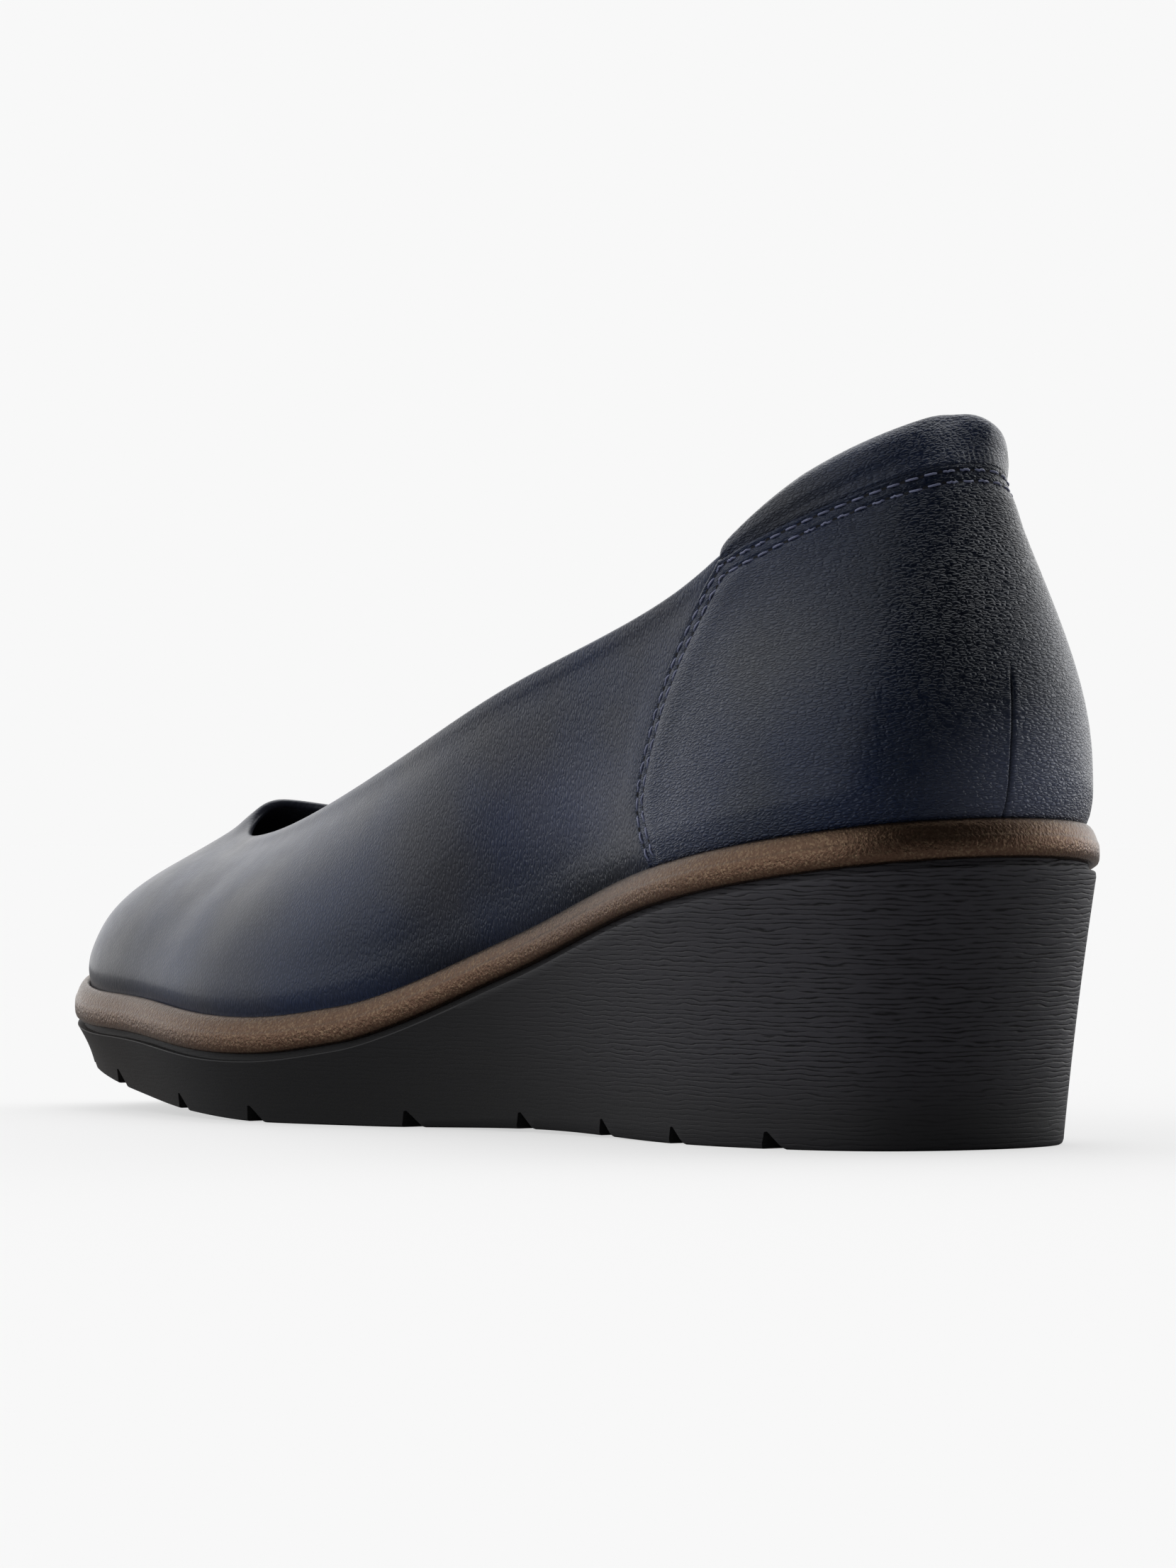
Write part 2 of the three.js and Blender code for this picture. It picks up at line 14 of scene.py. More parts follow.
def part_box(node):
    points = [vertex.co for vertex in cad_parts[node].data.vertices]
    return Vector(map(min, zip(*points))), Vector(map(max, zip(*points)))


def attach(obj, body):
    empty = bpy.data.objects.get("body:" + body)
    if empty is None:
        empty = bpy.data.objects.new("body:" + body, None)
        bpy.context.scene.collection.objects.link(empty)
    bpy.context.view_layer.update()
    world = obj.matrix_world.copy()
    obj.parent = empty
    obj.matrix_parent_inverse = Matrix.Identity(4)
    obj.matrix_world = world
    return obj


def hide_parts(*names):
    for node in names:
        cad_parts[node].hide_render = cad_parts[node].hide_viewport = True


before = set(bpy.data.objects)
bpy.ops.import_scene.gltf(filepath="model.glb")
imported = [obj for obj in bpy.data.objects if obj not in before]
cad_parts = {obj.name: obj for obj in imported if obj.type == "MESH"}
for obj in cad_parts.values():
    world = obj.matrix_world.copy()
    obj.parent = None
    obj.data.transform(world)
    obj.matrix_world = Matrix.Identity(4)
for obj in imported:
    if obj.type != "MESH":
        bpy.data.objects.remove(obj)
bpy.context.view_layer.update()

# %% [markdown]
# A shoe is drawn round its last, the wooden foot form. A maker knows it by a few sizes: length,
# width at ball and heel, the height the heel sits at, and the height of the topline.
# The solids' names and numbers are used again, so that the fine pieces fit over them. Only the
# collar's band is drawn half a millimetre wider here, to show its puffed edge.

# %% The shoe's own sizes
MM = 0.001
LENGTH = 251.5
BALL_WIDTH = 87.2
HEEL_WIDTH = 69.4
SEAT_HEIGHT = 53.5
FOREFOOT_HEIGHT = 18.9
TOE_RISE = 7.7
TOE_SPRING = 13.4
WAIST_LIFT = 0.6
TOPLINE_HEIGHT = 115.0
WALL = 1.8
GAP = 0.3
RAND_THICKNESS = 6.5
RAND_RECESS = 2.0
INSOLE_THICKNESS = 3.6
PANEL_THICKNESS = 1.0
COLLAR_BAND = 5.05
COLLAR_EDGE = 0.9
COLLAR_LINING_DROP = 16.0
UPPER_INSET = (3.4, 2.7)
WEDGE_TAPER = (6.1, 3.5)
WEDGE_LIP_INSET = 0.5
WEDGE_GROOVE_HEIGHT = 1.0
WEDGE_GROOVE_DEPTH = 1.3
NOTCH_DEPTH = 3.0
NOTCH_WIDTH = 4.6
NOTCHES = (0.117, 0.21, 0.303, 0.403, 0.505, 0.642, 0.738, 0.851, 0.918)

# %% [markdown]
# One row per station round the shoe, starting at the heel's back, along the outer side to the toe
# and home along the inner side. Each row holds the width its X shares are taken of, the sole edge,
# the topline, and how the leather wall leaves the sole and reaches the topline.

# %% Stations round the shoe
H, B = HEEL_WIDTH / 2, BALL_WIDTH / 2
COLUMNS = "wide outX outY topX topY topZ footLean footPull edgeLean edgePull".split()
STATIONS = np.array(
    [
        (H, 0, 0, 0, 0.056, 1, 12, 0.4, 84, 0.28),
        (H, -0.7, 0.035, -0.285, 0.068, 0.971, 10, 0.4, 84, 0.28),
        (H, -1, 0.13, -0.64, 0.135, 0.868, 5, 0.35, 82, 0.3),
        (H, -0.97, 0.25, -0.76, 0.225, 0.7315, 2, 0.35, 84, 0.3),
        (B, -0.677, 0.4, -0.64, 0.385, 0.592, 8, 0.35, 84, 0.3),
        (B, -0.86, 0.54, -0.6, 0.52, 0.4745, 4, 0.35, 70, 0.3),
        (B, -1, 0.66, -0.5, 0.65, 0.376, 2, 0.38, 52, 0.3),
        (B, -0.86, 0.82, -0.38, 0.76, 0.3235, 2, 0.38, 38, 0.35),
        (B, -0.655, 0.935, -0.215, 0.826, 0.327, 2, 0.38, 30, 0.38),
        (B, 0.03, 1, -0.01, 0.843, 0.372, 0, 0.37, 42, 0.4),
        (B, 0.64, 0.94, 0.2, 0.82, 0.376, 2, 0.38, 38, 0.38),
        (B, 0.88, 0.84, 0.37, 0.755, 0.368, 2, 0.38, 40, 0.35),
        (B, 1, 0.7, 0.49, 0.65, 0.398, 2, 0.38, 54, 0.3),
        (B, 0.83, 0.55, 0.58, 0.52, 0.484, 4, 0.35, 70, 0.3),
        (B, 0.62, 0.4, 0.6, 0.385, 0.6, 10, 0.35, 84, 0.3),
        (H, 0.93, 0.25, 0.74, 0.225, 0.738, 3, 0.35, 84, 0.3),
        (H, 0.99, 0.13, 0.6, 0.137, 0.868, 6, 0.36, 82, 0.3),
        (H, 0.7, 0.035, 0.255, 0.067, 0.974, 12, 0.4, 84, 0.28),
    ]
)
TIP = 9
station = {name: STATIONS[:, k] for k, name in enumerate(COLUMNS)}
edge_x_knots = station["outX"] * station["wide"]
edge_y_knots = station["outY"] * LENGTH
steps = np.hypot(np.roll(edge_x_knots, -1) - edge_x_knots, np.roll(edge_y_knots, -1) - edge_y_knots)
travel = np.concatenate([[0], np.cumsum(steps)])
LAP, TIP_TRAVEL = travel[-1], travel[TIP]
print("stations:", len(STATIONS), "round the sole edge:", round(LAP), "mm")

# %% [markdown]
# Two kinds of curve carry the shape. A closed curve runs through the stations and back to its
# start with no kink, as a last does. An open curve runs along the length through a short table
# and never overshoots it, so a flat part of the sole stays flat.


# %% Curves through tables
def hermite(a, b, slope_a, slope_b, width, share):
    """Value and slope of a cubic between two knots."""
    s2, s3 = share**2, share**3
    value = (
        (2 * s3 - 3 * s2 + 1) * a
        + (s3 - 2 * s2 + share) * width * slope_a
        + (3 * s2 - 2 * s3) * b
        + (s3 - s2) * width * slope_b
    )
    slope = (
        (6 * s2 - 6 * share) * (a - b) / width
        + (3 * s2 - 4 * share + 1) * slope_a
        + (3 * s2 - 2 * share) * slope_b
    )
    return value, slope


def closed_curve(values):
    """Smooth closed curve through one value per station."""
    count = len(values)
    rate = (np.roll(values, -1) - values) / steps
    before = np.roll(steps, 1)
    matrix = np.zeros((count, count))
    for i in range(count):
        matrix[i, i] = 2 * (before[i] + steps[i])
        matrix[i, i - 1] += steps[i]
        matrix[i, (i + 1) % count] += before[i]
    slopes = np.linalg.solve(matrix, 3 * (steps * np.roll(rate, 1) + before * rate))

    def curve(place):
        at = np.mod(place, LAP)
        i = np.clip(np.searchsorted(travel, at, side="right") - 1, 0, count - 1)
        j = (i + 1) % count
        share = (at - travel[i]) / steps[i]
        return hermite(values[i], values[j], slopes[i], slopes[j], steps[i], share)

    return curve


def open_curve(rows):
    """Curve through (along, value) rows that never overshoots a row."""
    at, values = np.array(rows, float).T
    rate = np.diff(values) / np.diff(at)
    slopes = np.zeros(len(at))
    slopes[0], slopes[-1] = rate[0], rate[-1]
    for i in range(1, len(at) - 1):
        if rate[i - 1] * rate[i] > 0:
            slopes[i] = 2 * rate[i - 1] * rate[i] / (rate[i - 1] + rate[i])

    def curve(place):
        p = np.clip(place, at[0], at[-1])
        i = np.clip(np.searchsorted(at, p, side="right") - 1, 0, len(at) - 2)
        width = at[i + 1] - at[i]
        share = (p - at[i]) / width
        return hermite(values[i], values[i + 1], slopes[i], slopes[i + 1], width, share)[0]

    return curve


edge_x, edge_y = closed_curve(edge_x_knots), closed_curve(edge_y_knots)
top_x = closed_curve(station["topX"] * station["wide"])
top_y = closed_curve(station["topY"] * LENGTH)
top_z = closed_curve(FOREFOOT_HEIGHT + station["topZ"] * (TOPLINE_HEIGHT - FOREFOOT_HEIGHT))
foot_lean = closed_curve(np.radians(station["footLean"]))
foot_pull = closed_curve(station["footPull"])
edge_lean = closed_curve(np.radians(station["edgeLean"]))
edge_pull = closed_curve(station["edgePull"])
SEAT_SLOPE = [(0, 1), (0.22, 0.749), (0.4, 0.405), (0.55, 0.045), (0.68, 0), (0.86, 0), (1, 0)]
seat_share = open_curve(SEAT_SLOPE)
toe_share = open_curve([(0, 0), (0.22, 0), (0.4, 0), (0.55, 0), (0.68, 0), (0.86, 0.38), (1, 1)])
waist_share = open_curve([(0, 0), (0.2, 0), (0.38, 1), (0.54, 0), (0.62, 0), (1, 0)])
spring_share = open_curve([(0, 0), (0.62, 0), (0.72, 0.085), (0.82, 0.28), (0.91, 0.56), (1, 0.97)])
FEATHER_EASE = [(0, 0), (0.4, 0), (0.505, 0.85), (0.62, -0.65), (0.78, 0.6), (0.925, -0.8), (1, 0.2)]
feather_ease = open_curve(FEATHER_EASE)
panel_along = open_curve([(0, 0.2205), (0.25, 0.24), (0.5, 0.231), (0.75, 0.211), (1, 0.174)])

# %% [markdown]
# The feather line is where the upper meets the sole: high under the heel, low under the ball, and
# lifted a little at the toe. The tread follows the floor and then curls up to the toe.
# The leather wall is one curved sheet between feather line and topline, a cubic arc at each place.
# A sewn shoe is never as even as its table of sizes. Two eases bring that back: the feather line
# wanders by less than a millimetre, and the topline stands up by up to 1.8 mm at the throat.


# %% Heights and the leather wall
def feather_height(y):
    """Height of the line where the upper meets the sole."""
    share = y / LENGTH
    line = FOREFOOT_HEIGHT + seat_share(share) * (SEAT_HEIGHT - FOREFOOT_HEIGHT)
    return line + toe_share(share) * TOE_RISE + feather_ease(share)


def tread_height(y):
    """Height of the tread above the floor."""
    share = y / LENGTH
    return waist_share(share) * WAIST_LIFT + spring_share(share) * TOE_SPRING


def outward(place):
    """Level direction straight out of the sole edge."""
    dx, dy = edge_x(place)[1], edge_y(place)[1]
    size = np.hypot(dx, dy)
    return np.stack([-dy / size, dx / size, np.zeros_like(size)], -1)


def graded(ends, place):
    """Value that runs evenly from the heel's to the toe's."""
    return ends[0] + (ends[1] - ends[0]) * edge_y(place)[0] / LENGTH


def ring(place, inset, height):
    """Points a given distance inside the sole edge, at a height that follows the length."""
    place = np.asarray(place, float)
    points = np.stack([edge_x(place)[0], edge_y(place)[0], np.zeros_like(place)], -1)
    points = points - outward(place) * np.broadcast_to(inset, place.shape)[..., None]
    points[..., 2] = height(points[..., 1])
    return points


def bump(distance, centre, width):
    """A soft ridge: 1 at its centre, fading to 0 over about two widths."""
    return np.exp(-(((distance - centre) / width) ** 2))


def ridges(distance, shapes):
    """Sum of soft ridges and troughs, each with its height, centre and width in millimetres."""
    return sum(height * bump(distance, centre, width) for height, centre, width in shapes)


# Each: height, place round the shoe and width, in millimetres.
THROAT_LIFT = [(1.6, 285, 25), (0.2, 316, 14)]


def wall_point(place, up):
    """Outer face of the upper: up runs from the sole at 0 to the topline at 1."""
    place, up = np.broadcast_arrays(np.asarray(place, float), np.asarray(up, float))
    foot = ring(place, graded(UPPER_INSET, place), feather_height)
    lift = ridges(np.mod(place, LAP), THROAT_LIFT)
    top = np.stack([top_x(place)[0], top_y(place)[0], top_z(place)[0] + lift], -1)
    chord = np.linalg.norm(top - foot, axis=-1)
    out = outward(place)
    rise = np.array([0, 0, 1.0])
    lean, reach = foot_lean(place)[0], foot_pull(place)[0] * chord
    low = foot + out * (np.sin(lean) * reach)[..., None] + rise * (np.cos(lean) * reach)[..., None]
    tilt, reach = edge_lean(place)[0], edge_pull(place)[0] * chord
    high = top + out * (np.cos(tilt) * reach)[..., None] - rise * (np.sin(tilt) * reach)[..., None]
    t = up[..., None]
    return (1 - t) ** 3 * foot + 3 * (1 - t) ** 2 * t * low + 3 * (1 - t) * t**2 * high + t**3 * top


def wall_chord(place):
    """Straight distance from the sole to the topline."""
    return np.linalg.norm(wall_point(place, 1.0) - wall_point(place, 0.0), axis=-1)


def wall_normal(place, up):
    """Direction straight out of the leather."""
    up = np.asarray(up, float)
    low, high = np.clip(up - 0.02, 0, 1), np.clip(up + 0.02, 0, 1)
    climb = wall_point(place, high) - wall_point(place, low)
    along = wall_point(np.asarray(place) + 1, up) - wall_point(np.asarray(place) - 1, up)
    normal = np.cross(climb, along)
    return normal / np.linalg.norm(normal, axis=-1, keepdims=True)


def wall_offset(place, up, distance):
    """Point at a distance out from the leather's plain face."""
    place, up, distance = np.broadcast_arrays(place, up, distance)
    return wall_point(place, up) + wall_normal(place, up) * distance[..., None]


print("topline at the heel:", wall_point(0.0, 1.0).round(1))
print("topline at the toe:", wall_point(TIP_TRAVEL, 1.0).round(1))

# %% [markdown]
# Each piece is a grid of points turned into faces. A grid can close on itself round the shoe, and
# rows can join in a loop to make a shell with real thickness. The solids sit with their box centred,
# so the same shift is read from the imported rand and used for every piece.

# %% Mesh helpers
rand_low, rand_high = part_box("rand")
edge_points = ring(np.linspace(0, LAP, 2000), 0.0, feather_height)
SHIFT = np.array(
    [
        (rand_low.x + rand_high.x) / 2 / MM - (edge_points[:, 0].min() + edge_points[:, 0].max()) / 2,
        (rand_low.y + rand_high.y) / 2 / MM - LENGTH / 2,
        0,
    ]
)
print("shift to the packed frame, mm:", SHIFT.round(3))


def make_piece(name, points, faces, smooth=True, skin=None):
    """A mesh from points in millimetres; skin is each point's place on the leather."""
    mesh = bpy.data.meshes.new(name)
    mesh.from_pydata(((np.asarray(points) + SHIFT) * MM).tolist(), [], faces)
    mesh.polygons.foreach_set("use_smooth", [smooth] * len(mesh.polygons))
    if skin is not None:
        corners = np.array([v for face in faces for v in face])
        layer = mesh.uv_layers.new(name="skin")
        layer.data.foreach_set("uv", np.array(skin, float)[corners].ravel())
    mesh.validate()
    piece = bpy.data.objects.new(name, mesh)
    bpy.context.scene.collection.objects.link(piece)
    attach(piece, "root")
    return piece


def grid_faces(rows, columns, start=0, round_columns=False, round_rows=False):
    """Quads over a grid, facing out when rows climb and columns run by the outer side to the toe."""
    faces = []
    for r in range(rows if round_rows else rows - 1):
        for c in range(columns if round_columns else columns - 1):
            r2, c2 = (r + 1) % rows, (c + 1) % columns
            faces.append(
                (
                    start + r * columns + c,
                    start + r2 * columns + c,
                    start + r2 * columns + c2,
                    start + r * columns + c2,
                )
            )
    return faces


def closed_sheet(rows, columns):
    """Faces of a sheet with a front grid, then a back grid, joined round their border."""
    back = rows * columns
    faces = grid_faces(rows, columns) + [face[::-1] for face in grid_faces(rows, columns, start=back)]
    rim = [r * columns for r in range(rows)] + [(rows - 1) * columns + c for c in range(1, columns)]
    rim += [r * columns + columns - 1 for r in range(rows - 2, -1, -1)]
    rim += list(range(columns - 2, 0, -1))
    for k, n in zip(rim, rim[1:] + rim[:1]):
        faces.append((k, back + k, back + n, n))
    return faces


def lengths_along(grid, axis, zero):
    """Millimetres along each line of a grid of points, measured from one column or row."""
    steps_between = np.linalg.norm(np.diff(grid, axis=axis), axis=-1)
    run = np.cumsum(steps_between, axis=axis)
    run = np.concatenate([np.zeros_like(np.take(run, [0], axis)), run], axis)
    return run - np.take(run, [zero], axis)


def cap_faces(start, count, up):
    """Rungs across a ring of points, from the outer side to the inner side."""
    faces = []
    for i in range(count // 2):
        left, left_next = start + i, start + i + 1
        right, right_next = start + (count - i) % count, start + count - i - 1
        corners = list(dict.fromkeys([left, left_next, right_next, right]))
        faces.append(tuple(corners[::-1] if up else corners))
    return faces


def smooth_by_angle(piece, degrees):
    """Keeps edges sharper than an angle crisp."""
    piece.data.set_sharp_from_angle(angle=math.radians(degrees))


def close_places(count):
    """Places round the shoe, as many on the outer side as on the inner."""
    half = count // 2
    outer = np.linspace(0, TIP_TRAVEL, half, endpoint=False)
    return np.concatenate([outer, np.linspace(TIP_TRAVEL, LAP, half, endpoint=False)])


# %% [markdown]
# The wedge is one moulded unit of black rubber. Its side tapers to the tread, a thin lip runs
# under the rand with a dark groove above it, and notches cross the tread.
# It is stacked from rings and then cut with bars by a Boolean modifier, the same way a mould
# maker adds bars to a mould.

# %% Wedge sole
ROUND = 420
places = close_places(ROUND)


def wedge_top(y):
    """Top of the wedge, just under the rand."""
    return feather_height(y) - RAND_THICKNESS - GAP


def side_ring(share, tuck=0.0):
    """Ring on the wedge's side, from the tread at 0 to the lip at 1, tucked in a little."""
    taper = graded(WEDGE_TAPER, places)
    inset = taper + (WEDGE_LIP_INSET - taper) * share + tuck

    def height(y):
        low = tread_height(y)
        return low + (wedge_top(y) - WEDGE_GROOVE_HEIGHT - low) * share

    return ring(places, inset, height)


HOLLOW = 0.35  # millimetres the side is drawn in at half its height
wedge_rings = [side_ring(0.0, 0.5), side_ring(0.006, 0.15), side_ring(0.02)]
for share in np.linspace(0.08, 0.95, 12):
    wedge_rings.append(side_ring(share, HOLLOW * math.sin(math.pi * share)))
wedge_rings += [side_ring(0.985), side_ring(1.0, 0.15)]
groove = WEDGE_LIP_INSET + WEDGE_GROOVE_DEPTH
wedge_rings.append(ring(places, groove, lambda y: wedge_top(y) - WEDGE_GROOVE_HEIGHT + 0.1))
wedge_rings.append(ring(places, groove, lambda y: wedge_top(y) + GAP * 0.9))
faces = grid_faces(len(wedge_rings), ROUND, round_columns=True)
faces += cap_faces(0, ROUND, up=False) + cap_faces((len(wedge_rings) - 1) * ROUND, ROUND, up=True)
wedge = make_piece("wedge_sole_dressed", np.concatenate(wedge_rings), faces)


def notch_bar(share):
    """Blunt three-cornered bar across the tread, steep toward the toe."""
    y = share * LENGTH
    z = tread_height(y)
    slope = (tread_height(y + 1) - tread_height(y - 1)) / 2
    corners = [
        (-NOTCH_WIDTH * 0.75 - 1, -1),
        (NOTCH_WIDTH * 0.25 + 0.3, -1),
        (0.25, NOTCH_DEPTH - 0.25),
        (-0.35, NOTCH_DEPTH - 0.15),
    ]
    return [(x, y + dy, z + dy * slope + dz) for x in (-BALL_WIDTH, BALL_WIDTH) for dy, dz in corners]


bar_points, bar_faces = [], []
for share in NOTCHES:
    k = len(bar_points)
    bar_points += notch_bar(share)
    bar_faces += [(k, k + 3, k + 2, k + 1), (k + 4, k + 5, k + 6, k + 7)]
    bar_faces += [(k + i, k + (i + 1) % 4, k + 4 + (i + 1) % 4, k + 4 + i) for i in range(4)]
bars = make_piece("notch_bars", bar_points, bar_faces, smooth=False)
cut = wedge.modifiers.new("notches", "BOOLEAN")
cut.operation, cut.solver, cut.object = "DIFFERENCE", "EXACT", bars
bpy.context.view_layer.update()
notched = wedge.evaluated_get(bpy.context.evaluated_depsgraph_get())
cut_mesh = bpy.data.meshes.new_from_object(notched)
wedge.modifiers.clear()
wedge.data = cut_mesh
bpy.data.objects.remove(bars)
smooth_by_angle(wedge, 32)
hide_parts("wedge_sole")
print("wedge faces:", len(wedge.data.polygons))

# %% [markdown]
# The rand is the bronze edge of the midsole. Its profile has a small rounded bead against the
# upper and a taller face below it that tucks in toward the wedge. A profile of short steps,
# carried round the shoe, gives both with one mesh.

# %% Rand
# Each row of the profile: millimetres inside the sole edge, and above the feather line.
RAND_PROFILE = [
    *[(5.0, -6.5), (1.25, -6.5), (0.6, -6.42), (0.25, -6.18), (0.07, -5.7), (0.0, -4.9)],
    *[(0.02, -4.0), (0.07, -3.4), (0.16, -3.05), (0.28, -2.86), (0.36, -2.7), (0.46, -2.36)],
    *[(0.7, -1.7), (1.05, -0.98), (1.45, -0.42), (1.85, -0.12), (2.2, -0.04), (2.55, -0.16)],
    *[(2.95, -0.5), (3.6, -1.6), (5.6, -1.9)],
]
rand_rings = [
    ring(places, inset, lambda y, above=above: feather_height(y) + above)
    for inset, above in RAND_PROFILE
]
faces = grid_faces(len(rand_rings), ROUND, round_columns=True)
faces += cap_faces(0, ROUND, up=False) + cap_faces((len(rand_rings) - 1) * ROUND, ROUND, up=True)
rand = make_piece("rand_dressed", np.concatenate(rand_rings), faces)
smooth_by_angle(rand, 60)
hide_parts("rand")
print("rand faces:", len(rand.data.polygons))

# %% [markdown]
# The heel panel's front edge leans forward from the topline and comes back at the sole. Its place
# round the shoe is found at each height by halving, and everything near the seam is measured from it.


# %% Where the heel panel ends
def place_at(up, y, far):
    """Place round the shoe, between the heel's back and far, where the wall reaches a length."""
    near, far = np.zeros_like(up), np.full_like(up, far)
    for _ in range(40):
        middle = (near + far) / 2
        short = wall_point(middle, up)[..., 1] < y
        near, far = np.where(short, middle, near), np.where(short, far, middle)
    return (near + far) / 2


edge_ups = np.linspace(0, 1, 201)
outer_edge = place_at(edge_ups, panel_along(edge_ups) * LENGTH, TIP_TRAVEL)
inner_edge = place_at(edge_ups, panel_along(edge_ups) * LENGTH, TIP_TRAVEL - LAP)


def panel_edges(up):
    """Places of the heel panel's inner and outer front edge at a height."""
    return np.interp(up, edge_ups, inner_edge), np.interp(up, edge_ups, outer_edge)


CORNER_UP = 0.97
CORNER = [float(v) for v in panel_edges(CORNER_UP)]


def band_taper(share):
    """How full the collar is, from 0 at its ends to 1 round the back."""
    return np.minimum(1, np.clip(np.sin(math.pi * np.clip(share, 0, 1)) * 2.2, 0, None) ** 0.8)


def collar_band(share):
    """Width of the collar below the topline, in millimetres, from one front end to the other."""
    return COLLAR_EDGE + COLLAR_BAND * np.clip(np.sin(math.pi * np.clip(share, 0, 1)), 0, 1) ** 0.78


def panel_top(share):
    """Height of the heel panel's top edge, a share of the wall."""
    place = CORNER[0] + (CORNER[1] - CORNER[0]) * share
    return 1 - collar_band(share) / wall_chord(place)


print("heel panel, mm round the sole:", [round(v, 1) for v in CORNER])

# %% [markdown]
# The upper is one piece of soft leather pulled over the last. Real pulled leather is never a
# perfect surface: the folded topline stands a little proud, the leather tucks in at the sole,
# dips beside the seam, shows faint pull marks at the toe and small flex creases at the ball.
# Sculpting by hand would do it too, but soft ridges and troughs with a height, a place and a width
# in millimetres are easy to check against a ruler, and they come before any grain.

# %% Relief of the upper
# Height, centre and width of each soft ridge or trough, measured from the line it follows.
TOPLINE_ROLL = [(0.16, 1.2, 1.4), (-0.07, 4.6, 2.2)]
SOLE_TUCK = [(-0.25, 0, 1.0), (0.3, 3.4, 3.2)]
SEAM_DIP = [(-0.16, 0.3, 1.3), (0.08, 4.0, 2.4)]
PULL_DEPTH, PULL_REACH = 0.05, 120
CREASE_DEPTH, CREASE_PLACES, CREASE_REACH = 0.09, (-78, 74), 26
PAD_ROOM, PAD_ROOM_WIDTH = 1.7, 5.0


def upper_relief(place, up):
    """Distance the leather stands out from its plain shape."""
    place = np.broadcast_to(place, np.broadcast_shapes(np.shape(place), np.shape(up)))
    below_edge = (1 - up) * wall_chord(place)
    above_sole = up * wall_chord(place)
    signed = np.where(place > LAP / 2 + 60, place - LAP, place)
    inner, outer = panel_edges(up)
    from_seam = np.where(signed > 0, signed - outer, inner - signed)
    relief = ridges(below_edge, TOPLINE_ROLL) + ridges(above_sole, SOLE_TUCK)
    relief += ridges(from_seam, SEAM_DIP)
    to_tip = place - TIP_TRAVEL
    pull = bump(above_sole, 6.0, 9.0) * bump(to_tip, 0, PULL_REACH)
    waves = np.sin(to_tip / 5.3 + 0.8 * np.sin(to_tip / 17)) + 0.7 * np.sin(to_tip / 8.9 + 1.3)
    relief += PULL_DEPTH * pull * waves
    flex = bump(up, 0.45, 0.3) * sum(bump(to_tip, at, CREASE_REACH) for at in CREASE_PLACES)
    relief += CREASE_DEPTH * flex * np.sin(to_tip / 4.6 + 2.2 * up + np.sin(to_tip / 13.0))
    collar_share = (signed - CORNER[0]) / (CORNER[1] - CORNER[0])
    return relief - PAD_ROOM * band_taper(collar_share) * bump(below_edge, 0, PAD_ROOM_WIDTH)


# %% Upper with its folded topline and lining
UPPER_ROUND = 520
UPPER_ROWS = 72
FOLD_ROWS = 8
LINING_ROWS = 26
upper_places = close_places(UPPER_ROUND)


def climb_at_edge(place):
    """Direction in which the leather reaches the topline."""
    climb = wall_point(place, 1.0) - wall_point(place, 0.96)
    return climb / np.linalg.norm(climb, axis=-1, keepdims=True)


def fold_points(place, turn, distance):
    """Path round the folded edge, turn 0 outside to 1 inside."""
    reach = np.broadcast_to(WALL / 2 + distance, np.shape(place))[..., None]
    level, rise = np.cos(math.pi * turn) * reach, np.sin(math.pi * turn) * reach
    centre = wall_offset(place, 1.0, -WALL / 2)
    return centre + wall_normal(place, 1.0) * level + climb_at_edge(place) * rise


def upper_foot(place, inset):
    """Ring where the upper stands in the rand's recess."""
    inside = graded(UPPER_INSET, place) + inset
    return ring(place, inside, lambda y: feather_height(y) - RAND_RECESS + GAP)


upper_rings = [upper_foot(upper_places, 0)]
for up in np.linspace(0, 1, UPPER_ROWS):
    upper_rings.append(wall_offset(upper_places, up, upper_relief(upper_places, up)))
edge_lift = upper_relief(upper_places, 1.0)
for turn in np.linspace(0, 1, FOLD_ROWS + 2)[1:-1]:
    upper_rings.append(fold_points(upper_places, turn, edge_lift * (1 - turn)))
lining_start = len(upper_rings)
for up in np.linspace(1, 0, LINING_ROWS):
    upper_rings.append(wall_offset(upper_places, up, -WALL))
upper_rings.append(upper_foot(upper_places, WALL))
faces = grid_faces(len(upper_rings), UPPER_ROUND, round_columns=True, round_rows=True)
upper_points = np.stack(upper_rings)
across_skin = lengths_along(upper_points, 1, UPPER_ROUND // 2)
up_skin = lengths_along(upper_points, 0, 0)
skin = np.stack([across_skin, up_skin], -1).reshape(-1, 2)
upper = make_piece("upper_dressed", upper_points.reshape(-1, 3), faces, skin=skin)
lining_faces = np.zeros(len(faces), np.int32)
lining_faces[lining_start * UPPER_ROUND :] = 1
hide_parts("upper")
print("upper faces:", len(faces))

# %% [markdown]
# The heel panel is a second layer of leather over both quarters. Its edge is folded and rounded,
# two rows of thread pull it down along the front and top, and the leather puffs up behind them.
# A subdivided plane could be shrink-wrapped on the upper, but a grid laid by place and height
# knows how far each point is from every seam. It is dense only near the seams, because that is
# where the small shapes are.


# %% Grid of the heel panel
def spaced(length, fine_spots, reach, fine, coarse):
    """Shares from 0 to 1, close together near each fine spot."""
    at, shares = 0.0, [0.0]
    while at < length:
        near = min(abs(at - spot * length) for spot in fine_spots)
        at += fine if near < reach else coarse
        shares.append(min(at / length, 1.0))
    return np.array(shares)


